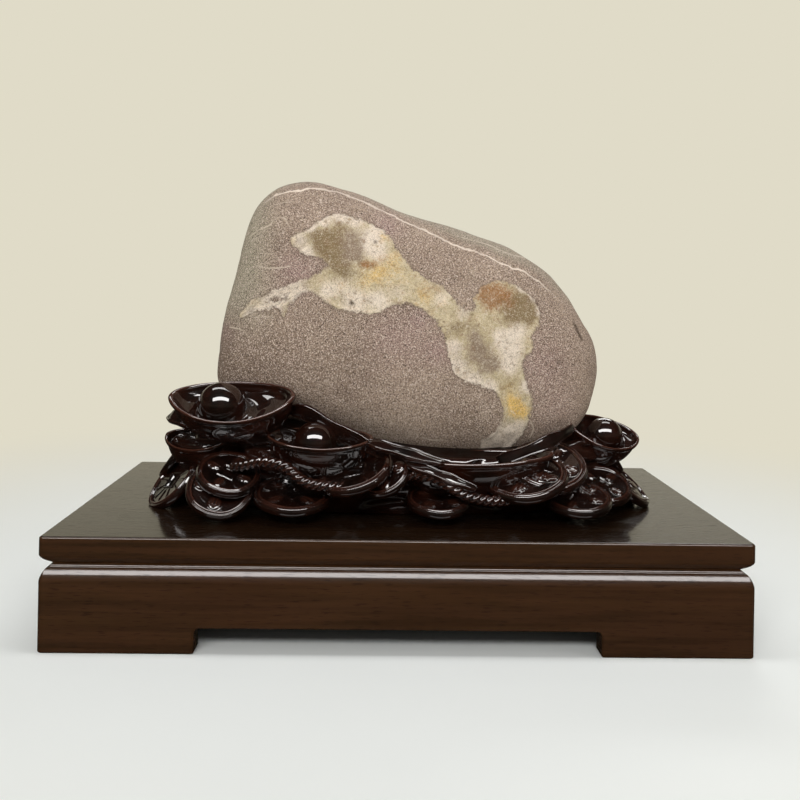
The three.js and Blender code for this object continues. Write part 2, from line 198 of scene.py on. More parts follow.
# Centre x y z, radius, tilt from flat, and the way the face looks (0 is +X, -90 the front).
FRONT_COINS = [
    (-136, -27, 74, 20, 48, -150), (-102, -64, 78, 19.5, 45, -84), (-61, -60, 74, 23, 14, -85),
    (23, -62, 73, 19, 17, -92), (104, -58, 73, 20, 14, -98), (141, -15, 75, 21, 40, -18),
    (-98, -61, 86, 18.5, 30, -72), (-25, -65, 89, 22, 26, -130), (-9, -64, 88.5, 16.5, 46, -118),
    (73, -61, 86, 25, 21, -116), (87, -55, 91.5, 23, 28, -92), (122, -42, 78, 18, 26, -78),
]
BACK_COINS = [
    (-136, 24, 74, 20, 46, 150), (-98, 56, 77, 20, 34, 95), (-56, 58, 73, 22, 16, 88),
    (-14, 58, 73, 20, 22, 84), (32, 58, 72, 21, 16, 92), (76, 57, 74, 21, 24, 84),
    (114, 42, 73, 21, 26, 62), (138, 6, 73, 20, 36, 10), (-78, 58, 88, 20, 34, 108), (8, 60, 87, 21, 36, 76),
    (52, 59, 88, 20, 34, 108), (-138, -1, 86, 19, 54, 178), (134, 8, 90, 19, 52, 4),
]
# Centre x y z, half length and half width of the rim, rise of its ends, egg radius and its place along the
# boat, then yaw, pitch and roll.
INGOTS = [
    (-97, -57, 127, 36.8, 20, 4.5, 14, -7, -5, -1, 29),
    (-46, -59, 106.8, 30.5, 17, 1.5, 12.8, -3, 2, 1, 12), (-121, -28, 100, 24, 14, 2.5, 0, 0, -25, 0, 18),
    (127, -24, 107.5, 23.5, 16, 1.5, 11.5, 1.5, 12, 11, 30), (43, -56, 96.3, 47, 18, 2.5, 0, 0, 0, -1, 3),
    (-90, 44, 107, 35, 18, 4.5, 13, 3, 4, 0, -18), (-30, 54, 103, 35, 18, 4, 13, -3, -3, 0, -16),
    (88, 45, 100, 34, 18, 4, 13, 2, -8, 0, -16), (-122, 14, 104, 25, 15, 3, 11, 0, 68, 0, 14),
]
INGOT_DEPTH = 22.0
LONG_INGOT = 30
# Rows of an ingot's section. At the egg's foot: shares of the egg along and across, height in eggs, how far
# the row moves with the egg. In a sunk pan: share, height. From the rim to the foot: share, height, lift.
EGG_FOOT = [
    (1.01, 1.01, -0.40, 1), (1.05, 1.04, -0.44, 1), (1.11, 1.08, -0.39, 0.9), (1.17, 1.10, -0.45, 0.8),
]
SUNK_PAN = [(0.05, -7.0), (0.4, -7.0), (0.7, -6.8), (0.79, -6.4), (0.83, -5.0), (0.845, -3.8)]
PAD = (0.05, 0.3, 0.55, 0.75)
RIM_TO_FOOT = [
    (0.86, -3.0, 0.8), (0.90, -1.8, 0.95), (0.925, -0.4, 1), (0.95, 0.5, 1), (0.98, 0.7, 1), (1.005, 0.1, 1),
    (1.012, -1.0, 1), (0.998, -2.1, 1), (0.965, -2.9, 0.9), (0.95, -4.2, 0.8), (0.935, -6.0, 0.6),
    (0.90, -9.0, 0.4), (0.82, -13.0, 0.2), (0.70, -17.0, 0.1), (0.55, -20.5, 0), (0.40, -INGOT_DEPTH, 0),
    (0.2, -INGOT_DEPTH, 0),
]
CORDS = [
    [(-97, -60, 90), (-89, -66, 92), (-79, -70, 95), (-64, -74, 93), (-54, -76, 86), (-38, -76, 83),
     (-24, -72, 82)],
    [(4, -68, 88), (12, -72, 89), (20, -74, 88), (28, -76, 84), (37, -76, 79), (54, -76, 76), (68, -72, 77)],
    [(-62, 66, 88), (-42, 70, 82), (-22, 71, 80), (-4, 68, 86)],
    [(22, 68, 86), (36, 72, 81), (46, 68, 86)],
]
CORD_RADIUS = 2.9
CORD_PITCH = 11.5
# Rolled leaf edges that hug the stone and tie the pieces together: route, half width, half thickness, lean.
RIBBONS = [
    ([(-19, -64, 106), (-6, -69, 103.5), (9, -72, 99.8), (25, -73, 96)], 3.8, 2.6, 38),
    ([(4, -72, 95), (18, -75, 91.5), (30, -77, 87), (43, -77, 82.5)], 3.2, 2.6, 38),
    ([(-66, -49, 121.5), (-58, -54, 122), (-49, -57, 118.5), (-36, -60, 111.5), (-20, -62, 104),
      (-6, -62, 98)], 5, 1.6, 100),
    ([(-139, -18, 115), (-135, -32, 114), (-122, -42, 113), (-104, -50, 111)], 5, 3.6, 50),
    ([(52, -50, 91), (68, -59, 99), (84, -55, 105), (97, -47, 109.5), (105, -38, 113)], 4, 1.8, 75),
    ([(-60, 62, 104), (-40, 66, 99), (-16, 66, 97), (6, 64, 98)], 4, 2, -35),
    ([(20, 62, 98), (40, 66, 96), (60, 64, 98)], 4, 2, -35),
]

# The plinth's mouldings: the board, the waist, the apron with its feet, its bead and its shoulder.
BOARD_FACE = 8.5
BOARD_EASE = 1.4
BOARD_NOTCH = 1.4
WAIST_INSET = 6.0
APRON_THICKNESS = 14.0
FOOT_CLEARANCE = 13.5
FOOT_FRONT = 82.0
FOOT_SIDE = 50.0
FOOT_FILLET = 3.0
EASE = 1.0
SHOULDER_RADIUS = 16.0
SHOULDER_START = 0.75
SHOULDER_FOOT = 0.54
SHOULDER_SLOPE = (49, 68)
# The bead above the shoulder: inset, and height over the apron's top.
BEAD = [
    (7.5, 0.5), (6.0, 0.9), (5.7, 0.88), (5.45, 0.66), (5.25, 0.33), (5.07, 0.0), (4.91, -0.33),
    (4.77, -0.62), (4.55, -0.78), (4.2, -0.72), (3.8, -0.62), (3.5, -0.62),
]


# ---------------------------------------------------------------- curves and noise
def curve_through(points, count, closed=False):
    """A smooth curve through the points, evenly spaced along itself.

    Between two points it is the cubic that leaves and arrives at slopes blended from the chords on
    either side, each chord weighted by the length of the other.
    """
    p = np.asarray(points, float)
    if closed:
        p = np.vstack([p[-1:], p, p[:2]])
    else:
        p = np.vstack([2 * p[:1] - p[1:2], p, 2 * p[-1:] - p[-2:-1]])
    chord = np.linalg.norm(np.diff(p, axis=0), axis=1)[:, None]
    slope = np.diff(p, axis=0) / chord
    tangent = (slope[:-1] * chord[1:] + slope[1:] * chord[:-1]) / (chord[:-1] + chord[1:])
    t = np.linspace(0, 1, 24, endpoint=False)[:, None, None]
    start, end, span = p[1:-2], p[2:-1], chord[1:-1]
    dense = (
        (2 * t**3 - 3 * t**2 + 1) * start
        + (t**3 - 2 * t**2 + t) * span * tangent[:-1]
        + (3 * t**2 - 2 * t**3) * end
        + (t**3 - t**2) * span * tangent[1:]
    )
    dense = np.vstack([dense.transpose(1, 0, 2).reshape(-1, p.shape[1]), end[-1:]])
    run = np.concatenate([[0], np.cumsum(np.linalg.norm(np.diff(dense, axis=0), axis=1))])
    where = np.linspace(0, run[-1], count, endpoint=not closed)
    return np.stack([np.interp(where, run, dense[:, k]) for k in range(p.shape[1])], 1)


def lattice_noise(points, size, seed):
    """Smooth noise from -1 to 1: random values on a cubic lattice, eased between its corners."""
    table = np.random.default_rng(seed).uniform(-1, 1, (32, 32, 32))
    place = np.asarray(points, float) / size
    cell = np.floor(place).astype(int)
    part = place - cell
    part = part * part * (3 - 2 * part)
    total = 0
    for corner in np.ndindex(2, 2, 2):
        weight = np.prod(np.where(corner, part, 1 - part), axis=-1)
        i, j, k = np.moveaxis((cell + corner) % 32, -1, 0)
        total = total + weight * table[i, j, k]
    return total


def eased(value, low, high):
    """0 below low, 1 above high, and a smooth step between."""
    t = np.clip((value - low) / (high - low), 0, 1)
    return t * t * (3 - 2 * t)


def bump(value, centre, half_width):
    """A smooth hump of height 1 at centre that falls to 0 half_width away."""
    return eased(1 - np.abs(value - centre) / half_width, 0, 1)


def distance_to_line(points, line, closed=False):
    """Each point's distance from a chain of straight runs, and the same with the sign of its side."""
    chain = np.vstack([line, line[:1]]) if closed else np.asarray(line)
    nearest = np.full(points.shape[:-1], 1e9)
    side = np.zeros(points.shape[:-1])
    for a, b in zip(chain[:-1], chain[1:]):
        along = b - a
        offset = points - a
        t = np.clip((offset @ along) / (along @ along), 0, 1)
        gap = np.linalg.norm(offset - t[..., None] * along, axis=-1)
        cross = along[0] * offset[..., 1] - along[1] * offset[..., 0]
        closer = gap < nearest
        nearest = np.where(closer, gap, nearest)
        side = np.where(closer, np.sign(cross), side)
    return nearest, nearest * side


def depth_inside(points, outline):
    """How far each point is inside a closed outline: positive inside, negative outside."""
    nearest, _ = distance_to_line(points, outline, closed=True)
    inside = np.zeros(points.shape[:-1], bool)
    for a, b in zip(outline, np.roll(outline, -1, axis=0)):
        spans = (a[1] > points[..., 1]) != (b[1] > points[..., 1])
        rise = b[1] - a[1] if b[1] != a[1] else 1e-9
        cross_x = a[0] + (points[..., 1] - a[1]) * (b[0] - a[0]) / rise
        inside ^= spans & (points[..., 0] < cross_x)
    return np.where(inside, nearest, -nearest)


def blobs(points, spots):
    """The sum of soft round spots, each x, z, radius and strength, falling off as a bell curve."""
    total = np.zeros(points.shape[:-1])
    for x, z, radius, strength in spots:
        total += strength * np.exp(-((points[..., 0] - x) ** 2 + (points[..., 1] - z) ** 2) / radius**2)
    return total


def turned(points, yaw=0.0, pitch=0.0, roll=0.0):
    """Points turned by roll about X, then pitch about Y, then yaw about Z, in degrees."""
    turn = (
        Matrix.Rotation(math.radians(yaw), 3, "Z")
        @ Matrix.Rotation(math.radians(pitch), 3, "Y")
        @ Matrix.Rotation(math.radians(roll), 3, "X")
    )
    return points @ np.array(turn).T


# ---------------------------------------------------------------- meshes
def shell(rings, values=None):
    """A closed skin over rings of points (rings x points round x 3), each end closed by a fan to its middle.

    values holds named numbers on the same grid. Returns points, four-sided faces, three-sided faces, values.
    """
    rows, around = rings.shape[:2]
    points = np.concatenate([rings.reshape(-1, 3), rings[0].mean(0)[None], rings[-1].mean(0)[None]])
    row = (np.arange(rows - 1) * around)[:, None]
    here = np.arange(around)[None]
    following = (here + 1) % around
    quads = np.stack([row + here, row + following, row + around + following, row + around + here], -1)
    quads = quads.reshape(-1, 4)
    last = (rows - 1) * around
    hub = rows * around
    first_fan = np.stack([np.full(around, hub), following[0], here[0]], -1)
    last_fan = np.stack([np.full(around, hub + 1), last + here[0], last + following[0]], -1)
    fans = np.concatenate([first_fan, last_fan])
    corners = np.concatenate([quads[:, [0, 1, 2]], quads[:, [0, 2, 3]], fans])
    a, b, c = (points[corners[:, k]] for k in range(3))
    if np.einsum("ij,ij->", a, np.cross(b, c)) < 0:
        quads, fans = quads[:, ::-1], fans[:, ::-1]
    named = {
        key: np.concatenate([grid.ravel(), [grid[0].mean()], [grid[-1].mean()]])
        for key, grid in (values or {}).items()
    }
    return points, quads, fans, named


def make_piece(name, shells, material, replaces=()):
    """One object from closed skins, in the row frame, smooth, with its values as point attributes."""
    starts = np.cumsum([0] + [len(s[0]) for s in shells])
    points = np.concatenate([s[0] for s in shells]) * MM
    quads = np.concatenate([s[1] + start for s, start in zip(shells, starts)])
    fans = np.concatenate([s[2] + start for s, start in zip(shells, starts)])
    mesh = bpy.data.meshes.new(name)
    mesh.vertices.add(len(points))
    mesh.vertices.foreach_set("co", points.astype(np.float32).ravel())
    mesh.loops.add(quads.size + fans.size)
    mesh.loops.foreach_set("vertex_index", np.concatenate([quads.ravel(), fans.ravel()]).astype(np.int32))
    mesh.polygons.add(len(quads) + len(fans))
    loop_start = np.concatenate([np.arange(len(quads)) * 4, quads.size + np.arange(len(fans)) * 3])
    mesh.polygons.foreach_set("loop_start", loop_start.astype(np.int32))
    mesh.update(calc_edges=True)
    mesh.validate()
    mesh.polygons.foreach_set("use_smooth", np.ones(len(mesh.polygons), bool))
    for key in shells[0][3]:
        attribute = mesh.attributes.new(key, "FLOAT", "POINT")
        attribute.data.foreach_set("value", np.concatenate([s[3][key] for s in shells]).astype(np.float32))
    mesh.materials.append(material)
    piece = bpy.data.objects.new(name, mesh)
    bpy.context.scene.collection.objects.link(piece)
    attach(piece, "root")
    if replaces:
        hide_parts(*replaces)
    return piece


# ---------------------------------------------------------------- shader helpers
def paint(red, green, blue):
    """A display colour of 0 to 255 as the linear colour that shaders take."""
    display = np.array([red, green, blue]) / 255
    linear = np.where(display <= 0.04045, display / 12.92, ((display + 0.055) / 1.055) ** 2.4)
    return (*linear.tolist(), 1.0)


def add(tree, kind, inputs=None, **settings):
    """Adds a node, sets its settings, and links or sets its inputs by name or number."""
    made = tree.nodes.new(kind)
    for key, value in settings.items():
        setattr(made, key, value)
    for key, value in (inputs or {}).items():
        if isinstance(value, bpy.types.NodeSocket):
            tree.links.new(value, made.inputs[key])
        else:
            made.inputs[key].default_value = value
    return made


def math_of(tree, operation, *values):
    """The result of a Math node on one, two or three values."""
    return add(tree, "ShaderNodeMath", dict(enumerate(values)), operation=operation).outputs[0]


def mix(tree, factor, a, b, blend="MIX"):
    """Colour a turning into colour b by factor."""
    made = add(tree, "ShaderNodeMix", {0: factor, 6: a, 7: b}, data_type="RGBA", blend_type=blend)
    return made.outputs[2]


def step(tree, value, low, high, start=0.0, end=1.0):
    """value eased from start at low to end at high."""
    inputs = {"Value": value, "From Min": low, "From Max": high, "To Min": start, "To Max": end}
    return add(tree, "ShaderNodeMapRange", inputs, interpolation_type="SMOOTHSTEP").outputs["Result"]


def noise(tree, vector, scale, detail=2.0, roughness=0.5, distortion=0.0):
    """A noise texture's value."""
    inputs = {"Vector": vector, "Scale": scale, "Detail": detail, "Roughness": roughness,
              "Distortion": distortion}
    return add(tree, "ShaderNodeTexNoise", inputs).outputs["Fac"]


def attribute(tree, name):
    """A point attribute's number."""
    return add(tree, "ShaderNodeAttribute", attribute_name=name).outputs["Fac"]


def new_group(name, inputs, outputs):
    """An empty shader node group with number or vector inputs and number outputs."""
    group = bpy.data.node_groups.new(name, "ShaderNodeTree")
    for key, default in inputs.items():
        kind = "NodeSocketVector" if default is None else "NodeSocketFloat"
        made = group.interface.new_socket(name=key, in_out="INPUT", socket_type=kind)
        if default is not None:
            made.default_value = default
    for key in outputs:
        group.interface.new_socket(name=key, in_out="OUTPUT", socket_type="NodeSocketFloat")
    entry = group.nodes.new("NodeGroupInput")
    leave = group.nodes.new("NodeGroupOutput")
    return group, entry.outputs, leave.inputs


def placed(tree, group, **inputs):
    """The outputs of a node group placed with these inputs."""
    return add(tree, "ShaderNodeGroup", inputs, node_tree=group).outputs


def tint(tree, base, colour, mask, share):
    """The base turned towards a colour where the mask is, by at most that share."""
    return mix(tree, math_of(tree, "MULTIPLY", mask, share), base, colour)


def mottle_group():
    """Soft clouds of colour change of a given size in millimetres."""
    group, into, out = new_group("mottle", {"Vector": None, "Size": 30.0, "Sharpness": 0.5}, ["Amount"])
    scale = math_of(group, "DIVIDE", 1000.0, into["Size"])
    cloud = noise(group, into["Vector"], scale, 3.0, 0.55)
    half = math_of(group, "MULTIPLY_ADD", into["Sharpness"], -0.22, 0.26)
    low = math_of(group, "SUBTRACT", 0.5, half)
    high = math_of(group, "ADD", 0.5, half)
    group.links.new(step(group, cloud, low, high), out["Amount"])
    return group


def speckle_group():
    """Sand-sized grains: separate dark and pale ones, and their height."""
    group, into, out = new_group("speckle", {"Vector": None, "Grain": 1.0}, ["Dark", "Pale", "Height"])
    scale = math_of(group, "DIVIDE", 1000.0, into["Grain"])
    grains = noise(group, into["Vector"], scale, 2.0, 0.65)
    turned_vector = add(group, "ShaderNodeMapping", {"Vector": into["Vector"], "Rotation": (0.6, 0.4, 1.1),
                                                     "Location": (3.1, 1.7, 0.4)}).outputs[0]
    wider = noise(group, turned_vector, math_of(group, "MULTIPLY", scale, 0.8), 2.0, 0.65)
    group.links.new(step(group, grains, 0.53, 0.38), out["Dark"])
    group.links.new(step(group, wider, 0.52, 0.64), out["Pale"])
    group.links.new(math_of(group, "ADD", grains, math_of(group, "MULTIPLY", wider, 0.8)), out["Height"])
    return group


def grain_group():
    """Wood grain running along X: broad streaks, short dark pores, and their height."""
    group, into, out = new_group("grain", {"Vector": None, "Spacing": 3.0}, ["Streak", "Pores", "Height"])
    stretched = add(group, "ShaderNodeMapping", {"Vector": into["Vector"], "Scale": (0.035, 1.0, 1.0)})
    scale = math_of(group, "DIVIDE", 1000.0, into["Spacing"])
    streak = noise(group, stretched.outputs[0], scale, 4.0, 0.6, 0.6)
    fine = add(group, "ShaderNodeMapping", {"Vector": into["Vector"], "Scale": (0.09, 1.0, 1.0)})
    dashes = noise(group, fine.outputs[0], math_of(group, "MULTIPLY", scale, 4.5), 1.0, 0.5)
    group.links.new(step(group, streak, 0.33, 0.67), out["Streak"])
    pores = step(group, dashes, 0.42, 0.30)
    group.links.new(pores, out["Pores"])
    height = math_of(group, "MULTIPLY_ADD", streak, 0.5, math_of(group, "MULTIPLY", pores, -0.5))
    group.links.new(height, out["Height"])
    return group


MOTTLE = mottle_group()
SPECKLE = speckle_group()
GRAIN = grain_group()


def new_material(name):
    """A material with an empty tree but for its shader, and the object coordinates."""
    material = bpy.data.materials.new(name)
    material.use_nodes = True
    tree = material.node_tree
    shader = tree.nodes["Principled BSDF"]
    place = tree.nodes.new("ShaderNodeTexCoord").outputs["Object"]
    return material, tree, shader, place


# ---------------------------------------------------------------- materials
# Some tones stand for light and shade: the dark rock tone is painted shade, the pale grey-green tone and the
# pale bare-rock tone are partly painted light, and the dark tone just outside the vein is a painted shadow.
STONE_TONES = {
    "rock": paint(153, 134, 119), "rock_pale": paint(175, 155, 138), "rock_patch": paint(136, 116, 107),
    "lit_and_weathered": paint(161, 157, 138), "blush": paint(163, 134, 132), "painted_shade": paint(98, 82, 70),
    "bloom_and_light": paint(196, 180, 162), "thread": paint(196, 182, 166), "grain_dark": paint(68, 54, 46),
    "grain_pale": paint(216, 199, 187), "vein_edge_shade": paint(92, 76, 66), "quartz": paint(212, 197, 166),
    "quartz_warm": paint(184, 168, 134), "chalk": paint(238, 224, 210), "ochre": paint(238, 196, 106),
    "olive": paint(126, 106, 74), "ash": paint(138, 120, 106), "rust": paint(150, 102, 58),
    "rim": paint(234, 220, 206), "crystal": paint(228, 217, 200), "crystal_dark": paint(122, 100, 76),
    "crack": paint(112, 90, 68), "quartz_dark": paint(112, 92, 72), "quartz_pale": paint(234, 224, 208),
    "seam": paint(230, 217, 204), "hairline": paint(206, 192, 176), "pit": paint(66, 50, 40),
}


def stone_material():
    """River stone: fine salt-and-pepper grains on purple-grey, with a stained quartz vein and hairlines."""
    material, tree, shader, place = new_material("river_stone")
    tone = STONE_TONES
    near = placed(tree, SPECKLE, Vector=place, Grain=0.60)
    clouds = placed(tree, MOTTLE, Vector=place, Size=34.0, Sharpness=0.3)["Amount"]
    patches = placed(tree, MOTTLE, Vector=place, Size=8.0, Sharpness=0.2)["Amount"]
    broken = placed(tree, MOTTLE, Vector=place, Size=11.0, Sharpness=0.6)["Amount"]
    ragged = noise(tree, place, 230.0, 5.0, 0.62, 0.3)
    crumbs = noise(tree, place, 760.0, 3.0, 0.65)

    def torn(name, amount=1.6, gain=1.0):
        """A painted patch whose soft edge is torn up by the ragged noise and by finer crumbs."""
        spread = math_of(tree, "MULTIPLY_ADD", ragged, amount, -0.5 * amount)
        spread = math_of(tree, "ADD", spread, math_of(tree, "MULTIPLY_ADD", crumbs, 1.1, -0.55))
        spread = math_of(tree, "MULTIPLY_ADD", attribute(tree, name), gain, spread)
        return step(tree, spread, 0.0, 1.2)

    body = mix(tree, clouds, tone["rock"], tone["rock_pale"])
    body = tint(tree, body, tone["rock_patch"], patches, 0.38)
    # Painted light: a paler grey-green tone where the upper left side and the top band catch the light; on
    # the back it is random tone.
    body = mix(tree, attribute(tree, "lit_and_weathered"), body, tone["lit_and_weathered"])
    body = mix(tree, attribute(tree, "blush"), body, tone["blush"])
    # Painted shade: the rock darkened by the painted-shade spots.
    body = tint(tree, body, tone["painted_shade"], attribute(tree, "painted_shade"), 0.62)
    # Chalky whitening, and painted light that lightens the rock low down.
    bloom_and_light = math_of(tree, "MULTIPLY", torn("bloom_and_light", 1.6), 0.42)
    body = mix(tree, bloom_and_light, body, tone["bloom_and_light"])
    laid = add(tree, "ShaderNodeMapping", {"Vector": place, "Scale": (60.0, 60.0, 620.0)}).outputs[0]
    threads = step(tree, noise(tree, laid, 1.0, 2.0, 0.6), 0.55, 0.66)
    threads = math_of(tree, "MULTIPLY", threads, attribute(tree, "laid"))
    body = tint(tree, body, tone["thread"], threads, 0.4)
    body = tint(tree, body, tone["grain_dark"], near["Dark"], 0.92)
    body = tint(tree, body, tone["grain_pale"], near["Pale"], 0.88)

    edge = math_of(tree, "ADD", attribute(tree, "vein"), math_of(tree, "MULTIPLY_ADD", ragged, 5.5, -2.75))
    edge = math_of(tree, "ADD", edge, math_of(tree, "MULTIPLY_ADD", crumbs, 3.4, -1.7))
    soft = math_of(tree, "MULTIPLY_ADD", broken, 1.3, 0.35)
    quartz = step(tree, math_of(tree, "DIVIDE", edge, soft), -0.6, 0.8)
    aligned = add(tree, "ShaderNodeMapping", {"Vector": place, "Rotation": (0.0, 0.55, 0.0)}).outputs[0]
    drawn = add(tree, "ShaderNodeMapping", {"Vector": aligned, "Scale": (95.0, 200.0, 430.0)}).outputs[0]
    gaps = step(tree, noise(tree, drawn, 1.0, 3.0, 0.6), 0.54, 0.44)
    gaps = math_of(tree, "MULTIPLY", gaps, attribute(tree, "lace"))
    quartz = math_of(tree, "MULTIPLY", quartz, math_of(tree, "MULTIPLY_ADD", gaps, -0.42, 1.0))
    # Painted shadow: a thin darker band of rock just outside the quartz's edge.
    vein_edge_shade = math_of(tree, "MULTIPLY", step(tree, edge, -1.6, -0.5), 0.32)
    body = mix(tree, vein_edge_shade, body, tone["vein_edge_shade"])

    veil = placed(tree, MOTTLE, Vector=place, Size=6.0, Sharpness=0.1)["Amount"]
    crystals = noise(tree, place, 380.0, 5.0, 0.72, 1.0)
    cream = mix(tree, veil, tone["quartz"], tone["quartz_warm"])
    cream = tint(tree, cream, tone["chalk"], torn("chalk", 1.8, 1.45), 0.94)
    cream = tint(tree, cream, tone["ochre"], torn("ochre"), 0.85)
    cream = tint(tree, cream, tone["olive"], torn("olive"), 0.92)
    cream = tint(tree, cream, tone["ash"], torn("ash"), 0.9)
    cream = tint(tree, cream, tone["rust"], torn("rust"), 0.9)
    rim = math_of(tree, "MULTIPLY_ADD", torn("chalk", 1.6, 1.7), 0.85, 0.06)
    rim = math_of(tree, "MULTIPLY", step(tree, edge, 2.6, 0.6), rim)
    cream = mix(tree, rim, cream, tone["rim"])
    cream = tint(tree, cream, tone["crystal"], step(tree, crystals, 0.53, 0.66), 0.5)
    cream = tint(tree, cream, tone["crystal_dark"], step(tree, crystals, 0.47, 0.33), 0.62)
    crackle = noise(tree, place, 210.0, 5.0, 0.6, 1.2)
    crackle = math_of(tree, "ABSOLUTE", math_of(tree, "SUBTRACT", crackle, 0.5))
    patchy = math_of(tree, "MULTIPLY", broken, 0.55)
    cracks = math_of(tree, "MULTIPLY", step(tree, crackle, 0.016, 0.003), patchy)
    cream = mix(tree, cracks, cream, tone["crack"])
    cream = tint(tree, cream, tone["quartz_dark"], near["Dark"], 0.42)
    cream = tint(tree, cream, tone["quartz_pale"], near["Pale"], 0.28)
    colour = mix(tree, quartz, body, cream)

    line_wobble = math_of(tree, "MULTIPLY_ADD", noise(tree, place, 160.0, 2.0), 3.0, -1.5)
    shoulder = math_of(tree, "ABSOLUTE", math_of(tree, "ADD", attribute(tree, "shoulder"), line_wobble))
    whole = math_of(tree, "MULTIPLY_ADD", broken, 0.35, 0.65)
    seam = math_of(tree, "MULTIPLY", step(tree, shoulder, 0.72, 0.2), whole)
    seam = math_of(tree, "MULTIPLY", seam, attribute(tree, "shoulder_run"))
    colour = tint(tree, colour, tone["seam"], seam, 0.92)

    hair = math_of(tree, "ABSOLUTE", attribute(tree, "hair_side"))
    ends = step(tree, attribute(tree, "hair"), 1.6, 0.7)
    hair = math_of(tree, "MULTIPLY", step(tree, hair, 0.65, 0.15), ends)
    hair = math_of(tree, "MULTIPLY", hair, math_of(tree, "MULTIPLY_ADD", broken, 0.55, 0.22))
    colour = mix(tree, hair, colour, tone["hairline"])
    colour = mix(tree, attribute(tree, "pit"), colour, tone["pit"])
    tree.links.new(colour, shader.inputs["Base Color"])

    rough = mix(tree, quartz, (0.86, 0.86, 0.86, 1), (0.60, 0.60, 0.60, 1))
    tree.links.new(rough, shader.inputs["Roughness"])
    shader.inputs["Specular IOR Level"].default_value = 0.06

    crust = math_of(tree, "ADD", crystals, crumbs)
    crust = math_of(tree, "MULTIPLY", crust, math_of(tree, "MULTIPLY", quartz, 1.3))
    height = math_of(tree, "ADD", math_of(tree, "MULTIPLY", near["Height"], 0.35), crust)
    height = math_of(tree, "ADD", height, math_of(tree, "MULTIPLY", rim, 0.8))
    height = math_of(tree, "SUBTRACT", height, math_of(tree, "MULTIPLY", attribute(tree, "pit"), 2.0))
    relief = add(tree, "ShaderNodeBump", {"Height": height, "Strength": 0.6, "Distance": 0.5 * MM})
    tree.links.new(relief.outputs[0], shader.inputs["Normal"])
    return material


def lacquer_material(name, deep, warm, rubbed_sheen_colour):
    """Polished dark lacquer over carved wood: red-brown where it is thin, near black where it is thick, and
    paler on raised relief, as rubbed wear and painted highlight.
    """
    material, tree, shader, place = new_material(name)
    clouds = placed(tree, MOTTLE, Vector=place, Size=16.0, Sharpness=0.2)["Amount"]
    wood = placed(tree, GRAIN, Vector=place, Spacing=2.2)
    colour = mix(tree, clouds, deep, warm)
    colour = tint(tree, colour, deep, wood["Streak"], 0.35)
    # Raised relief painted paler red-brown: rubbed-thin lacquer, and a painted highlight along rims and
    # ridges.
    colour = tint(tree, colour, rubbed_sheen_colour, attribute(tree, "raised_sheen_and_wear"), 0.55)
    tree.links.new(colour, shader.inputs["Base Color"])
    smear = placed(tree, MOTTLE, Vector=place, Size=8.0, Sharpness=0.0)["Amount"]
    tree.links.new(math_of(tree, "MULTIPLY_ADD", smear, 0.15, 0.40), shader.inputs["Roughness"])
    shine = math_of(tree, "MULTIPLY_ADD", smear, -0.12, 1.0)
    dusty = math_of(tree, "MULTIPLY_ADD", attribute(tree, "sunken"), -0.85, 1.0)
    tree.links.new(math_of(tree, "MULTIPLY", shine, dusty), shader.inputs["Coat Weight"])
    shader.inputs["Coat Roughness"].default_value = 0.045
    shader.inputs["Coat IOR"].default_value = 1.72
    shader.inputs["Specular IOR Level"].default_value = 0.05
    ripple = noise(tree, place, 260.0, 2.0, 0.5)
    height = math_of(tree, "ADD", ripple, math_of(tree, "MULTIPLY", wood["Height"], 0.25))
    relief = add(tree, "ShaderNodeBump", {"Height": height, "Strength": 0.28, "Distance": 0.4 * MM})
    tree.links.new(relief.outputs[0], shader.inputs["Normal"])
    return material


def plinth_material(name, turn):
    """Satin dark hardwood, its grain along X or, turned, along Y, and nearly black on the board's top face,
    where shade is painted.
    """
    material, tree, shader, place = new_material(name)
    lined = add(tree, "ShaderNodeMapping", {"Vector": place, "Rotation": (0.0, 0.0, turn)}).outputs[0]
    wood = placed(tree, GRAIN, Vector=lined, Spacing=3.4)
    broad = placed(tree, GRAIN, Vector=lined, Spacing=14.0)
    clouds = placed(tree, MOTTLE, Vector=place, Size=60.0, Sharpness=0.1)["Amount"]
    colour = mix(tree, broad["Streak"], paint(41, 27, 14), paint(60, 39, 21))
    colour = tint(tree, colour, paint(74, 46, 27), wood["Streak"], 0.45)
    colour = tint(tree, colour, paint(22, 13, 8), wood["Pores"], 0.5)
    colour = tint(tree, colour, paint(56, 32, 17), clouds, 0.3)
    # Painted shade: the board's top face painted nearly black.
    colour = tint(tree, colour, paint(12, 7, 4), attribute(tree, "painted_top_shade"), 0.72)
    tree.links.new(colour, shader.inputs["Base Color"])
    tree.links.new(math_of(tree, "MULTIPLY_ADD", wood["Streak"], 0.1, 0.34), shader.inputs["Roughness"])
    tree.links.new(math_of(tree, "MULTIPLY_ADD", wood["Pores"], -0.25, 0.9), shader.inputs["Coat Weight"])
    shader.inputs["Specular IOR Level"].default_value = 0.06
    shader.inputs["Coat Roughness"].default_value = 0.11
    shader.inputs["Coat IOR"].default_value = 1.47
    relief = add(tree, "ShaderNodeBump", {"Height": wood["Height"], "Strength": 0.25, "Distance": 0.25 * MM})
    tree.links.new(relief.outputs[0], shader.inputs["Normal"])
    return material


RIVER_STONE = stone_material()
# The third colour of each lacquer is the paler red-brown of raised relief: rubbed wear and painted
# highlight.
CARVED = lacquer_material("carved_lacquer", paint(10, 4, 2), paint(34, 13, 6), paint(74, 40, 29))
INGOT_LACQUER = lacquer_material("ingot_lacquer", paint(13, 5, 2), paint(42, 16, 7), paint(86, 51, 39))
PLINTH_LONG = plinth_material("plinth_wood_long", 0.0)
PLINTH_SHORT = plinth_material("plinth_wood_short", math.pi / 2)


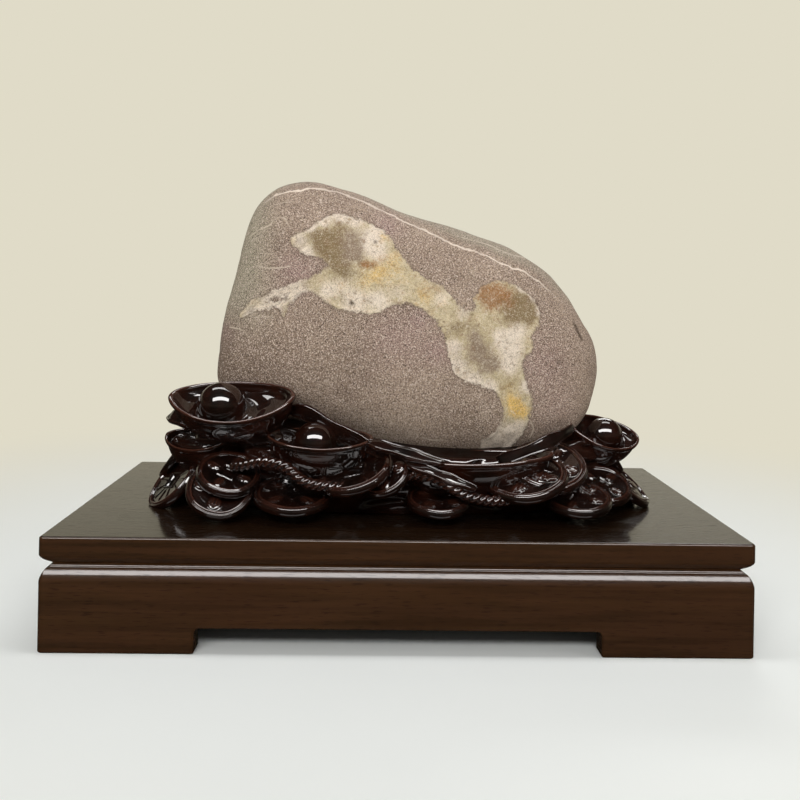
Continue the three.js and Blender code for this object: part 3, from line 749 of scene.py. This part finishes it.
# ---------------------------------------------------------------- the stone
def stone_rings(rows=240, around=400):
    """The outline shrunk to its centre while it moves from the front to the back.

    Along each run the reach and the depth follow a squared-off circle, reach^n + depth^n = 1, in steps
    that are a little closer on the marked face.
    """
    angle = np.linspace(-math.pi / 2, math.pi / 2, 4001)
    power = 2 / STONE_SQUARENESS
    reach = np.cos(angle) ** power
    depth = np.sign(angle) * np.abs(np.sin(angle)) ** power
    run = np.concatenate([[0], np.cumsum(np.hypot(np.diff(reach) * 100, np.diff(depth) * 52))])
    where = ((np.arange(rows) + 0.5) / rows) ** 1.22 * run[-1]
    reach, depth = np.interp(where, run, reach), np.interp(where, run, depth)
    loop = curve_through(STONE_OUTLINE, around, closed=True) - STONE_CENTRE
    flat = loop[None] * reach[:, None, None] + STONE_CENTRE
    y = depth[:, None] * STONE_THICKNESS + STONE_LEAN * (flat[..., 1] - STONE_CENTRE[1])
    return np.stack([flat[..., 0], y, flat[..., 1]], -1)


def outward(rings):
    """Unit normals of a closed grid of rings, turned to point away from its middle."""
    along = np.gradient(rings, axis=0)
    round_it = np.roll(rings, -1, 1) - np.roll(rings, 1, 1)
    normal = np.cross(along, round_it)
    normal /= np.linalg.norm(normal, axis=-1, keepdims=True) + 1e-12
    away = np.einsum("ijk,ijk->", normal, rings - rings.mean((0, 1)))
    return normal if away > 0 else -normal


def build_stone():
    """The rounded form, worn into shallow hollows, with the quartz sunk a little and a crust raised along
    its edge.
    """
    rings = stone_rings()
    normal = outward(rings)
    flat = rings[..., [0, 2]]
    front = rings[..., 1] < STONE_LEAN * (flat[..., 1] - STONE_CENTRE[1])

    outline = curve_through(VEIN, 360, closed=True)
    eye = curve_through(VEIN_EYE, 40, closed=True)
    vein = np.minimum(depth_inside(flat, outline), -depth_inside(flat, eye))
    vein = vein + 0.9 * (1 - eased(flat[..., 0], -66, -54))
    vein = np.where(front, np.clip(vein, -12, 12), -12)

    line = np.array(SHOULDER_LINE, float)
    over = flat[..., 1] - np.interp(flat[..., 0], line[:, 0], line[:, 1])
    slope = np.gradient(line[:, 1], line[:, 0])
    over /= np.hypot(1, np.interp(flat[..., 0], line[:, 0], slope))
    over = np.where(front, over, 12.0)
    run = eased(flat[..., 0], -92, -74) * (1 - eased(flat[..., 0], 78, 98)) * front

    hair = np.full(flat.shape[:-1], 9.0)
    hair_side = np.full(flat.shape[:-1], 9.0)
    for lines, here in ((HAIRLINES, front), (BACK_LINES, ~front)):
        for points in lines:
            gap, side = distance_to_line(flat, curve_through(points, 40))
            closer = (gap < np.abs(hair)) & here
            hair = np.where(closer, gap, hair)
            hair_side = np.where(closer, side, hair_side)

    lift = 1.3 * lattice_noise(rings, 58.0, 3) + 0.55 * lattice_noise(rings, 23.0, 5)
    lift += 0.22 * lattice_noise(rings, 8.0, 7) + 0.10 * lattice_noise(rings, 3.4, 9)
    lift += 0.8 * bump(over, 1.0, 9.0) * run
    crust = -0.35 + 0.45 * lattice_noise(rings, 5.0, 13) + 0.55 * bump(vein, 0.8, 1.8)
    lift += eased(vein, -1.0, 1.0) * crust
    rings = rings + normal * lift[..., None]
    rings[..., 2] = np.minimum(rings[..., 2], STONE_HIGH[2])

    shade = lattice_noise(rings, 30.0, 21)
    # Painted light on the front: the upper left side and the band above the shoulder line are painted paler
    # and greyer; on the back the same tone lies at random.
    side_face = eased(-flat[..., 0], 66, 100) * eased(flat[..., 1], 150, 190)
    top_face = eased(over, 0.5, 9.0) * eased(flat[..., 1], 150, 190) * 0.75
    lit_and_weathered = np.clip(side_face * (0.85 + 0.25 * shade) + top_face * (0.8 + 0.3 * shade), 0, 1)
    lit_and_weathered = np.where(front, lit_and_weathered, np.clip(0.35 + 0.4 * shade, 0, 1))
    blush = blobs(flat, BLUSH)
    pits = blobs(flat, PITS)
    scratch, _ = distance_to_line(flat, np.array(SCRATCH))
    pits += 0.75 * (1 - eased(scratch, 0.5, 1.5))
    values = {
        "vein": vein,
        "shoulder": np.clip(over, -12, 12),
        "shoulder_run": run,
        "hair": hair,
        "hair_side": np.clip(hair_side, -9, 9),
        "lit_and_weathered": lit_and_weathered,
        "laid": eased(-flat[..., 0], 50, 70) * bump(flat[..., 1], 214, 30) * front,
        "blush": np.clip(blush, 0, 1) * front,
        "pit": np.clip(pits, 0, 1) * front,
        "lace": np.clip(1 - eased(flat[..., 0], -66, -46) + blobs(flat, LACE), 0, 1) * front,
    }
    # The spots hold the quartz's stains, and also painted light and painted shade on the bare rock.
    for key, spots in STAINS_AND_PAINTED_LIGHT.items():
        values[key] = np.clip(blobs(flat, spots), 0, 1.2) * front
    make_piece("river_stone", [shell(rings, values)], RIVER_STONE, ["stone"])


# ---------------------------------------------------------------- the carving
def shelf(x):
    """Height of the mound's shelf at x: lowest near the right, rising as a square to each end."""
    left = x < SHELF["low_x"]
    rise = np.where(left, SHELF["left_rise"], SHELF["right_rise"])
    height = rise * (x - SHELF["low_x"]) ** 2
    most = np.where(left, SHELF["left_most"], SHELF["right_most"])
    return SHELF["lowest"] + most * np.tanh((height / most) ** 3) ** (1 / 3)


def mound_shell(around=320):
    """Rings of a squared-off oval, narrow at the foot, swelling to a rim and folding in under the stone."""
    layers = curve_through(MOUND_SECTION, 54)
    angle = np.linspace(0, 2 * math.pi, around, endpoint=False)
    c, s = np.cos(angle), np.sin(angle)
    x = MOUND["half_length"] * np.sign(c) * np.abs(c) ** 0.8
    y = MOUND["half_depth"] * np.sign(s) * np.abs(s) ** 0.8
    rise, share = layers[:, :1], layers[:, 1:]
    wide = np.stack([x * share, y * share + MOUND["middle"], SEAT + rise * (shelf(x * share) - SEAT)], -1)
    scroll = lattice_noise(wide * np.array([1, 1, 1.6]), 17.0, 31)
    folds = np.abs(scroll)
    push = 1.0 - 3.2 * bump(folds, 0.0, 0.22) * eased(rise, 0.05, 0.2) * (1 - eased(rise, 0.9, 1.0))
    push += 0.5 * lattice_noise(wide, 6.0, 33)
    out = np.stack([np.cos(angle), np.sin(angle)], -1)[None]
    wide[..., :2] += out * (push[..., None] - 1.0)
    ledge = eased(rise, 0.9, 0.97) * (1 - eased(share, 0.945, 0.965)) * np.ones_like(folds)
    # Painted sheen and wear over the mound, left off in its folds and on the ledge under the stone, which
    # stay dark as painted shade.
    return shell(wide, {"raised_sheen_and_wear": 0.4 * (1 - ledge) * (1 - bump(folds, 0.0, 0.3)), "sunken": ledge})


def coin_relief(share, angle, style):
    """Height of a coin's face: a double rim, a bordered square hole, and four leaves or a lattice."""
    x, y = share * np.cos(angle), share * np.sin(angle)
    rim = 0.9 * eased(share, 0.79, 0.82) - 0.8 * bump(share, 0.90, 0.035)
    rim += 0.25 * bump(share, 0.835, 0.025)
    square = np.maximum(np.abs(x), np.abs(y))
    border = 0.7 * bump(square, 0.26, 0.035)
    hole = -1.3 * (1 - eased(square, 0.17, 0.22))
    field = np.zeros_like(share)
    if style == "lattice":
        ribs = bump(np.abs(np.sin(6 * angle)), 0.0, 0.35)
        field = 0.6 * (ribs * eased(share, 0.3, 0.4) * (1 - eased(share, 0.7, 0.78)))
    else:
        for quarter in range(4):
            local = angle - quarter * math.pi / 2
            along = share * np.cos(local)
            across = share * np.sin(local)
            width = 0.20 if style == "leaf" else 0.15
            reach = ((along - 0.54) / 0.23) ** 2 + (across / width) ** 2
            leaf = eased(1.15 - reach, 0, 0.30) * (0.75 + 0.4 * eased(1 - reach, 0, 1))
            veins = 0.55 * bump(across, 0.0, 0.035) + 0.35 * bump(np.abs(across), 0.10, 0.03)
            field = np.maximum(field, 1.3 * leaf * (0.85 - veins))
    dish = -0.5 * (1 - share**2)
    return dish + rim + border + hole + field


def coin_shell(x, y, z, radius, tilt, facing, spin, style="leaf", around=100):
    """A coin: its flat back, a rounded edge, and a carved face, turned to its tilt and facing."""
    angle = np.linspace(0, 2 * math.pi, around, endpoint=False)[None]
    half = COIN_THICKNESS / 2
    turn = np.linspace(-math.pi / 2, math.pi / 2, 17)[:, None]
    back_share = np.array([0.25, 0.6, 0.85])[:, None]
    edge_share = 1 - half * (1 - np.abs(np.cos(turn)) ** 0.75) * 0.8 / radius
    face_share = np.linspace(edge_share[-1, 0], 0.02, 54)[1:, None]
    share = np.concatenate([back_share, edge_share, face_share])
    edge_top = half * np.sign(turn[:, 0]) * np.abs(np.sin(turn[:, 0])) ** 0.85
    top = np.concatenate([np.full(3, -half), edge_top, np.full(53, half)])[:, None]
    on_face = np.concatenate([np.zeros(3), eased(turn[:, 0], 0.9, 1.5), np.ones(53)])[:, None]
    relief = coin_relief(share + 0 * angle, angle + spin + 0 * share, style) * on_face
    wobble = 1 + 0.012 * np.sin(3 * angle + spin) + 0.008 * np.sin(5 * angle + 2 * spin)
    local = np.stack([
        share * radius * np.cos(angle) * wobble, share * radius * np.sin(angle) * wobble,
        top + relief + 0 * angle,
    ], -1)
    placed_points = turned(turned(local, pitch=tilt), yaw=facing) + np.array([x, y, z])
    placed_points[..., 2] = np.maximum(placed_points[..., 2], SEAT + 0.02)
    # The coin's raised relief is painted paler: rubbed wear and painted highlight, with the hole and hollows
    # left dark.
    return shell(placed_points, {"raised_sheen_and_wear": np.clip(relief * on_face, 0, 1)})


def ingot_shell(x, y, z, length, width, rise, egg, slide, yaw, pitch, roll, around=112):
    """A boat-shaped ingot: an egg in a dished top, a rim with upturned ends, and a hull that narrows below.

    Each ring is a circle near the egg and the rim's oval further out, and lifts as the square of the cosine
    towards its two ends. slide moves the egg along the boat. With no egg the top is a ribbed pad, or on a
    long ingot a sunk pan.
    """
    if egg:
        dome = np.linspace(0.05, 1.0, 20) * math.pi / 2
        rows = [(egg * math.sin(t), egg * math.sin(t), egg * (math.cos(t) - 0.25), 0, 1) for t in dome]
        rows += [(egg * along, egg * across, egg * low, 0, moved) for along, across, low, moved in EGG_FOOT]
        rows += [(0.62 * length, 0.84 * width, egg * -0.36, 0.3, 0.3)]
    elif length > LONG_INGOT:
        rows = [(share * length, share * width, low, 0.7 * share, 0) for share, low in SUNK_PAN]
    else:
        rows = [(share * length, share * width, 0.4 - share, 0.7 * share, 0) for share in PAD]
    rows += [(share * length, share * width, low, lift, 0) for share, low, lift in RIM_TO_FOOT]
    fine = curve_through(rows, 96)
    angle = np.linspace(0, 2 * math.pi, around, endpoint=False)[None]
    c, s = np.cos(angle), np.sin(angle)
    a, b, low, lift, moved = (fine[:, k, None] for k in range(5))
    pointed = np.abs(s) ** (0.14 * np.clip(lift, 0, 1))
    local = np.stack([a * c + moved * slide, b * s * pointed, low + lift * rise * c**2], -1)
    if not egg:
        ribs = np.abs(np.sin(local[..., 1] / width * 7.5)) ** 0.7 * (length < LONG_INGOT)
        local[..., 2] += 0.9 * ribs * (1 - eased(a / length, 0.7, 0.86)) * (low > -3)
    grain = lattice_noise(local + np.array([x, y, z]), 9.0, 41)
    local[..., 2] += 0.22 * grain
    points = turned(local, yaw, pitch, roll) + np.array([x, y, z])
    points[..., 2] = np.maximum(points[..., 2], SEAT + 0.02)
    # The rim's crest is painted paler: rubbed wear and a painted highlight line.
    raised_sheen_and_wear = bump(low, 0.6, 1.1) * (lift > 0.95) * (a > 0.9 * length) * np.ones_like(c)
    return shell(points, {"raised_sheen_and_wear": raised_sheen_and_wear})


def ribbon_shell(route, half_width, half_thickness, lean, around=40):
    """A flattened roll carried along a route, with a bead along each edge, tapering at its two ends.

    lean turns the flat of the ribbon about the route: at 0 it faces up, at 90 it faces the front.
    """
    count = int(np.linalg.norm(np.diff(curve_through(route, 200), axis=0), axis=1).sum() / 0.7)
    path = curve_through(route, count)
    heading = np.gradient(path, axis=0)
    heading /= np.linalg.norm(heading, axis=1, keepdims=True)
    level = np.cross(heading, [0.0, 0.0, 1.0])
    level /= np.linalg.norm(level, axis=1, keepdims=True)
    upright = np.cross(level, heading)
    turn = math.radians(lean)
    across = math.cos(turn) * level - math.sin(turn) * upright
    facing = math.sin(turn) * level + math.cos(turn) * upright
    angle = np.linspace(0, 2 * math.pi, around, endpoint=False)[None]
    c, s = np.cos(angle), np.sin(angle)
    run = np.linspace(-1, 1, count)[:, None]
    taper = np.sqrt(np.clip(1 - np.abs(run) ** 9, 0.01, 1)) * (1 - 0.25 * run**2)
    beads = 0.7 + 0.5 * bump(np.abs(c), 0.82, 0.2)
    wave = 1 + 0.14 * np.sin(7 * run + 0.4 * c)
    out = half_width * taper * wave * np.sign(c) * np.abs(c) ** 0.8
    thick = half_thickness * np.sqrt(taper) * beads * np.sign(s) * np.abs(s) ** 0.9
    thick = thick * (1 + 0.16 * np.sin(8 * run + 1.5 * c) * np.abs(c))
    points = path[:, None] + out[..., None] * across[:, None] + thick[..., None] * facing[:, None]
    lumps = 0.7 * lattice_noise(points, 7.0, 51) * np.clip(s, 0, 1) * taper
    points = points + lumps[..., None] * facing[:, None]
    # The beads along the edges are painted paler: rubbed wear and painted highlight.
    return shell(points, {"raised_sheen_and_wear": 0.5 * bump(np.abs(c), 0.85, 0.2) + 0 * out})


def cord_shell(route, around=30):
    """Three strands laid up together: a section of three lobes that turns steadily along the route."""
    length = np.linalg.norm(np.diff(curve_through(route, 200), axis=0), axis=1).sum()
    count = int(length / 0.55)
    path = curve_through(route, count)
    heading = np.gradient(path, axis=0)
    heading /= np.linalg.norm(heading, axis=1, keepdims=True)
    side = np.cross(heading, [0.0, 0.0, 1.0])
    side /= np.linalg.norm(side, axis=1, keepdims=True)
    up = np.cross(side, heading)
    angle = np.linspace(0, 2 * math.pi, around, endpoint=False)[None]
    twist = (np.arange(count) * length / count / CORD_PITCH * 2 * math.pi)[:, None]
    lobe = np.abs(np.cos(1.5 * (angle - twist)))
    fibres = 0.05 * np.cos(18 * (angle - 1.4 * twist))
    radius = CORD_RADIUS * (0.66 + 0.42 * lobe**0.8) + fibres
    taper = np.sqrt(np.clip(np.minimum(np.arange(count), np.arange(count)[::-1]) / 4.0, 0.05, 1))[:, None]
    radius = radius * taper
    points = (
        path[:, None]
        + (radius * np.cos(angle))[..., None] * side[:, None]
        + (radius * np.sin(angle))[..., None] * up[:, None]
    )
    # The strands' crests are painted paler: rubbed wear and painted highlight.
    return shell(points, {"raised_sheen_and_wear": eased(lobe, 0.5, 1.0) * 0.7})


def build_carving():
    """The mound, the coins on each side, the ingots and the cords."""
    make_piece("carved_mound", [mound_shell()], CARVED, ["carved_stand"])
    styles = ["lattice", "leaf", "petal", "leaf", "petal", "leaf", "petal"]
    draw = np.random.default_rng(17)
    for name, coins in (("front_coins", FRONT_COINS), ("back_coins", BACK_COINS)):
        spins = draw.uniform(0, math.pi / 2, len(coins))
        shells = [coin_shell(*coin, spin, styles[k % 7]) for k, (coin, spin) in enumerate(zip(coins, spins))]
        make_piece(name, shells, CARVED)
    make_piece("ingots", [ingot_shell(*ingot) for ingot in INGOTS], INGOT_LACQUER)
    make_piece("cords", [cord_shell(route) for route in CORDS], CARVED)
    make_piece("leaf_edges", [ribbon_shell(*ribbon) for ribbon in RIBBONS], CARVED)


# ---------------------------------------------------------------- the plinth
def rounded_rectangle(length, depth, inset, radius, corner=12):
    """Points round a rectangle with arcs at its corners, drawn in by inset."""
    r = np.maximum(radius - inset, 0.35)
    turn = np.linspace(0, math.pi / 2, corner)
    rounds = []
    for quarter, (sx, sy) in enumerate(((1, 1), (-1, 1), (-1, -1), (1, -1))):
        at = turn + quarter * math.pi / 2
        x = sx * (length / 2 - inset - r)[:, None] + r[:, None] * np.cos(at)
        y = sy * (depth / 2 - inset - r)[:, None] + r[:, None] * np.sin(at)
        rounds.append(np.stack([x, y], -1))
    return np.concatenate(rounds, 1)


def build_top_board():
    """The board: flat below, an edge that swells out of the waist, a plain face and an eased top edge."""
    low, high = BOARD_LOW[2], BOARD_HIGH[2]
    notch = low - BOARD_NOTCH
    swell = np.linspace(1, 0, 11)
    ease = np.linspace(0, math.pi / 2, 7)
    face_foot = high - BOARD_FACE - BOARD_EASE
    round_share = 0.25 * np.sqrt(1 - (1 - swell) ** 2) + 0.75 * swell
    inset = np.concatenate([
        [40, 8.0, 6.3], WAIST_INSET * swell, [0.0, 0.0], BOARD_EASE * (1 - np.cos(ease)),
        [BOARD_EASE + 0.4, BOARD_EASE + 3, 30],
    ])
    z = np.concatenate([
        [low, low, notch], face_foot - (face_foot - notch) * round_share,
        [face_foot + 0.4, high - BOARD_EASE - 0.4],
        high - BOARD_EASE + BOARD_EASE * np.sin(ease), [high, high, high],
    ])
    ring = rounded_rectangle(PLINTH_LENGTH, PLINTH_DEPTH, inset, CORNER_RADIUS)
    rings = np.concatenate([ring, np.broadcast_to(z[:, None, None], (*ring.shape[:2], 1))], -1)
    # The top face of the board gets painted shade.
    painted_top_shade = np.broadcast_to(((z > high - 0.3) & (inset > 1.0))[:, None] * 1.0, ring.shape[:2])
    shells = [shell(rings, {"painted_top_shade": painted_top_shade})]
    make_piece("plinth_top_board", shells, PLINTH_LONG, ["top_board"])


def foot_outline(half_length, foot):
    """Half of an apron's lower edge, from the middle of the side outwards.

    The edge runs flat over the gap, turns down through a fillet, drops to the foot's eased corner and
    runs flat to the end. Returns the place along the side, the height, the inward normal, and an evenly
    spread place for the rows above.
    """
    edge = half_length - foot
    arc = np.linspace(0, math.pi / 2, 7)
    corner = np.linspace(0, math.pi / 2, 6)
    fillet_u = edge - FOOT_FILLET + FOOT_FILLET * np.sin(arc)
    fillet_z = FOOT_CLEARANCE - FOOT_FILLET + FOOT_FILLET * np.cos(arc)
    ease_u = edge + EASE - EASE * np.cos(corner)
    ease_z = EASE - EASE * np.sin(corner)
    u = np.concatenate([[0, edge * 0.5, edge - 8], fillet_u, ease_u, [edge + 8, half_length - 16]])
    z = np.concatenate([[FOOT_CLEARANCE] * 3, fillet_z, ease_z, [0, 0]])
    normal_u = np.concatenate([[0] * 3, np.sin(arc), np.cos(corner), [0, 0]])
    normal_z = np.concatenate([[1] * 3, np.cos(arc), np.sin(corner), [1, 1]])
    spread = np.concatenate([u[:3], np.linspace(edge - 5, edge + 5, 13), u[-2:]])
    return u, z, normal_u, normal_z, spread


def apron_rows():
    """The apron's section as rows: inset, height on the plain stretch, rise off the lower edge, share of it.

    From the waist it is a thin bead, a quirk, a sloping shoulder, a hairline groove, the plain face, the
    eased lower edge, the underside and the plain back.
    """
    top = APRON_TOP
    slope = np.radians(np.linspace(*SHOULDER_SLOPE, 10))
    rows = [(inset, top + above, 0, 0) for inset, above in BEAD]
    rows += [
        (SHOULDER_FOOT + SHOULDER_RADIUS * (np.sin(slope[-1]) - np.sin(t)),
         top - SHOULDER_START - SHOULDER_RADIUS * (np.cos(slope[0]) - np.cos(t)), 0, 0)
        for t in slope
    ]
    rows += [(0.26, 38.5, 0, 0), (0.07, 37.7, 0, 0)]
    rows += [(0, z, 0, 0) for z in (36.8, 32.0, 24.0, 18.5)]
    rows += [(0, 18.5, EASE, share) for share in (0.35, 0.7, 0.93)]
    edge = np.linspace(0, math.pi / 2, 6)
    rows += [(EASE - EASE * math.cos(t), 0, EASE - EASE * math.sin(t), 1) for t in edge]
    rows += [(APRON_THICKNESS - EASE + EASE * math.sin(t), 0, EASE - EASE * math.cos(t), 1) for t in edge]
    rows += [(APRON_THICKNESS, 18.5, EASE, share) for share in (0.7, 0.35)]
    rows += [(APRON_THICKNESS, z, 0, 0) for z in (20.0, 32.0, top - 0.8)]
    rows += [(APRON_THICKNESS - 0.8, top, 0, 0), (WAIST_INSET + 3, top, 0, 0)]
    return np.array(rows, float)


def build_apron(name, length, depth, foot, quarter_turns, material):
    """One side of the lower frame: its section carried from mitre to mitre round half of each corner."""
    half = length / 2
    u, z, normal_u, normal_z, spread = foot_outline(half, foot)
    rows = apron_rows()
    inset, height, rise, follow = (rows[:, k] for k in range(4))
    lower_u = u[:, None] + normal_u[:, None] * rise
    lower_z = z[:, None] + normal_z[:, None] * rise
    along = spread[:, None] * (1 - follow) + lower_u * follow
    up = height * (1 - follow) + lower_z * follow

    corner = np.linspace(0, math.pi / 4, 8)[:, None]
    radius = np.maximum(CORNER_RADIUS - inset, 0.0)
    centre = half - np.maximum(CORNER_RADIUS, inset)
    round_u = centre + radius * np.sin(corner)
    round_in = np.maximum(CORNER_RADIUS, inset) - radius * np.cos(corner)
    inner = inset > CORNER_RADIUS
    round_u = np.where(inner, centre - (1 - corner / (math.pi / 4)) * 1.0, round_u)
    last_up = np.broadcast_to(height * (1 - follow) + rise * follow, round_u.shape)
    column_u = np.concatenate([along, round_u - MITRE_SHADOW])
    column_in = np.concatenate([np.broadcast_to(inset, along.shape), round_in])
    column_up = np.concatenate([up, last_up])

    half_side = np.stack([column_u, column_in - depth / 2, column_up], -1)
    other = half_side[:0:-1] * np.array([-1, 1, 1])
    rings = np.concatenate([other, half_side])
    rings = turned(rings, yaw=90.0 * quarter_turns)
    make_piece(name, [shell(rings)], material, [name])


def build_plinth():
    """The top board, the four aprons, and the finish of the waist strips that carry over from the frame."""
    build_top_board()
    build_apron("apron_front", PLINTH_LENGTH, PLINTH_DEPTH, FOOT_FRONT, 0, PLINTH_LONG)
    build_apron("apron_right", PLINTH_DEPTH, PLINTH_LENGTH, FOOT_SIDE, 1, PLINTH_SHORT)
    build_apron("apron_back", PLINTH_LENGTH, PLINTH_DEPTH, FOOT_FRONT, 2, PLINTH_LONG)
    build_apron("apron_left", PLINTH_DEPTH, PLINTH_LENGTH, FOOT_SIDE, 3, PLINTH_SHORT)
    for side in ("front", "back", "left", "right"):
        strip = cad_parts["waist_" + side]
        strip.data.materials.clear()
        strip.data.materials.append(PLINTH_LONG if side in ("front", "back") else PLINTH_SHORT)


# ---------------------------------------------------------------- floor, light and camera
WALL = paint(224, 219, 200)
FLOOR_TONES = (paint(239, 243, 243), paint(243, 247, 247))
FLOOR_AROUND = 96
# Light in the room, linear: in polish, away from and towards the wall behind; for shading, in front, behind,
# overhead and below.
POLISH_DARK, POLISH_WALL = (0.010, 0.009, 0.007, 1), (0.54, 0.50, 0.38, 1)
ROOM_FRONT, ROOM_BACK = (0.34, 0.33, 0.31, 1), (0.42, 0.41, 0.36, 1)
ROOM_ABOVE, ROOM_BELOW = (0.14, 0.138, 0.13, 1), (0.12, 0.118, 0.11, 1)
# Each light: name, place, target, size, power, colour, and what it is hidden from.
LIGHTS = [
    ("window", (-0.25, -1.60, 1.08), (0, 0, 0.12), (1.3, 0.34), 19.0, (1.0, 0.985, 0.96), "polish"),
    ("high_card", (0.0, -1.10, 1.18), (0, -0.08, 0.06), (2.2, 0.46), 44.0, (1.0, 0.975, 0.965), "shading"),
    ("panel", (-0.05, -0.10, 1.25), (0, -0.08, 0.06), (1.50, 0.24), 6.2, (1.0, 0.99, 0.97), "polish"),
    ("ceiling_card", (-0.05, 0.28, 1.25), (0, -0.06, 0.08), (1.50, 0.24), 6.5, (1.0, 0.99, 0.97), "shading"),
    ("fill", (1.35, -0.7, 0.8), (0, 0, 0.1), (0.35, 0.6), 3.0, (1.0, 0.97, 0.93), "polish"),
    ("behind", (0.5, 1.5, 1.1), (0, 0, 0.1), (0.9, 0.35), 7.0, (1.0, 0.985, 0.96), ""),
]
CAMERA_PLACE = (-0.0141, -0.589, 0.194)
CAMERA_TURN = -1.3
CAMERA_ROLL = 1.0
LENS = 41.27
LENS_SHIFT = (0.00125, -0.1388)


def build_floor():
    """A wide disc: a pale table round the object that turns, further out, into the colour behind it."""
    material, tree, shader, place = new_material("pale_floor")
    away = add(tree, "ShaderNodeVectorMath", {0: place}, operation="LENGTH").outputs["Value"]
    cloud = noise(tree, place, 9.0, 3.0)
    tree.links.new(mix(tree, cloud, *FLOOR_TONES), shader.inputs["Base Color"])
    shader.inputs["Roughness"].default_value = 0.8
    shader.inputs["Specular IOR Level"].default_value = 0.0
    glow = add(tree, "ShaderNodeEmission", {"Color": WALL})
    far = step(tree, away, 0.16, 0.78)
    blend = add(tree, "ShaderNodeMixShader", {0: far, 1: shader.outputs[0], 2: glow.outputs[0]})
    tree.links.new(blend.outputs[0], tree.nodes["Material Output"].inputs["Surface"])
    around = FLOOR_AROUND
    angle = np.linspace(0, 2 * math.pi, around, endpoint=False)
    radii = np.array([0.1, 0.5, 1.5, 6.0, 20.0])
    ring = np.stack([np.outer(radii, np.cos(angle)), np.outer(radii, np.sin(angle))], -1).reshape(-1, 2)
    points = np.vstack([np.column_stack([ring, np.zeros(len(ring))]), [[0, 0, 0]]])
    row = (np.arange(len(radii) - 1) * around)[:, None]
    here = np.arange(around)[None]
    following = (here + 1) % around
    quads = np.stack([row + here, row + around + here, row + around + following, row + following], -1)
    fan = np.stack([np.full(around, around * len(radii)), here[0], following[0]], -1)
    mesh = bpy.data.meshes.new("floor")
    mesh.from_pydata(points.tolist(), [], quads.reshape(-1, 4).tolist() + fan.tolist())
    mesh.materials.append(material)
    floor = bpy.data.objects.new("floor", mesh)
    floor.visible_glossy = False
    bpy.context.scene.collection.objects.link(floor)


def build_world():
    """The room: even soft light for shading, a dark room in polish but for a pale wall low behind."""
    world = bpy.data.worlds.new("room")
    bpy.context.scene.world = world
    world.use_nodes = True
    tree = world.node_tree
    background = tree.nodes["Background"]
    looked = tree.nodes.new("ShaderNodeTexCoord").outputs["Generated"]
    direction = add(tree, "ShaderNodeSeparateXYZ", {0: looked})
    paths = tree.nodes.new("ShaderNodeLightPath").outputs
    low = step(tree, direction.outputs["Z"], 0.36, 0.26)
    wall = math_of(tree, "MULTIPLY", low, step(tree, direction.outputs["Y"], 0.1, 0.7, 0.10, 1.0))
    wall = math_of(tree, "MULTIPLY", wall, step(tree, direction.outputs["Z"], 0.02, 0.12))
    polish = mix(tree, wall, POLISH_DARK, POLISH_WALL)
    shading = mix(tree, step(tree, direction.outputs["Y"], -0.5, 0.6), ROOM_FRONT, ROOM_BACK)
    shading = mix(tree, step(tree, direction.outputs["Z"], 0.2, 0.8), shading, ROOM_ABOVE)
    shading = mix(tree, step(tree, direction.outputs["Z"], 0.22, 0.02), shading, ROOM_BELOW)
    room = mix(tree, paths["Is Glossy Ray"], shading, polish)
    tree.links.new(mix(tree, paths["Is Camera Ray"], room, WALL), background.inputs["Color"])


def add_softbox(name, place, target, size, power, colour, hidden_from):
    """A rectangular light at a place, facing a target, unseen itself and hidden from polish or shading."""
    light = bpy.data.lights.new(name, "AREA")
    light.shape = "RECTANGLE"
    light.size, light.size_y = size
    light.energy = power
    light.color = colour
    lamp = bpy.data.objects.new(name, light)
    bpy.context.scene.collection.objects.link(lamp)
    away = np.array(place, float) - np.array(target, float)
    forward = away / np.linalg.norm(away)
    right = np.cross([0.0, 1.0, 0.0] if abs(forward[2]) > 0.9 else [0.0, 0.0, 1.0], forward)
    right /= np.linalg.norm(right)
    up = np.cross(forward, right)
    matrix = np.eye(4)
    matrix[:3] = np.stack([right, up, forward, place], 1)
    lamp.matrix_world = Matrix(matrix.tolist())
    lamp.visible_camera = False
    lamp.visible_glossy = hidden_from != "polish"
    lamp.visible_diffuse = hidden_from != "shading"


def build_lights():
    """A wide window in front that shades the forms, bright cards that only polish shows, and fills."""
    for light in LIGHTS:
        add_softbox(*light)


def build_camera():
    """The camera stands in front at the height of the stone's face, turned and rolled by a degree or so."""
    data = bpy.data.cameras.new("camera")
    data.sensor_width = 36.0
    data.lens = LENS
    data.shift_x, data.shift_y = LENS_SHIFT
    data.clip_start = 0.01
    data.clip_end = 50.0
    camera = bpy.data.objects.new("camera", data)
    bpy.context.scene.collection.objects.link(camera)
    turn = Matrix.Rotation(math.radians(CAMERA_TURN), 4, "Z")
    upright = Matrix.Rotation(math.radians(90), 4, "X")
    roll = Matrix.Rotation(math.radians(CAMERA_ROLL), 4, "Z")
    camera.matrix_world = Matrix.Translation(CAMERA_PLACE) @ turn @ upright @ roll
    bpy.context.scene.camera = camera


build_camera()
build_stone()
build_carving()
build_plinth()
build_floor()
build_world()
build_lights()
bpy.context.scene.view_settings.view_transform = "Standard"
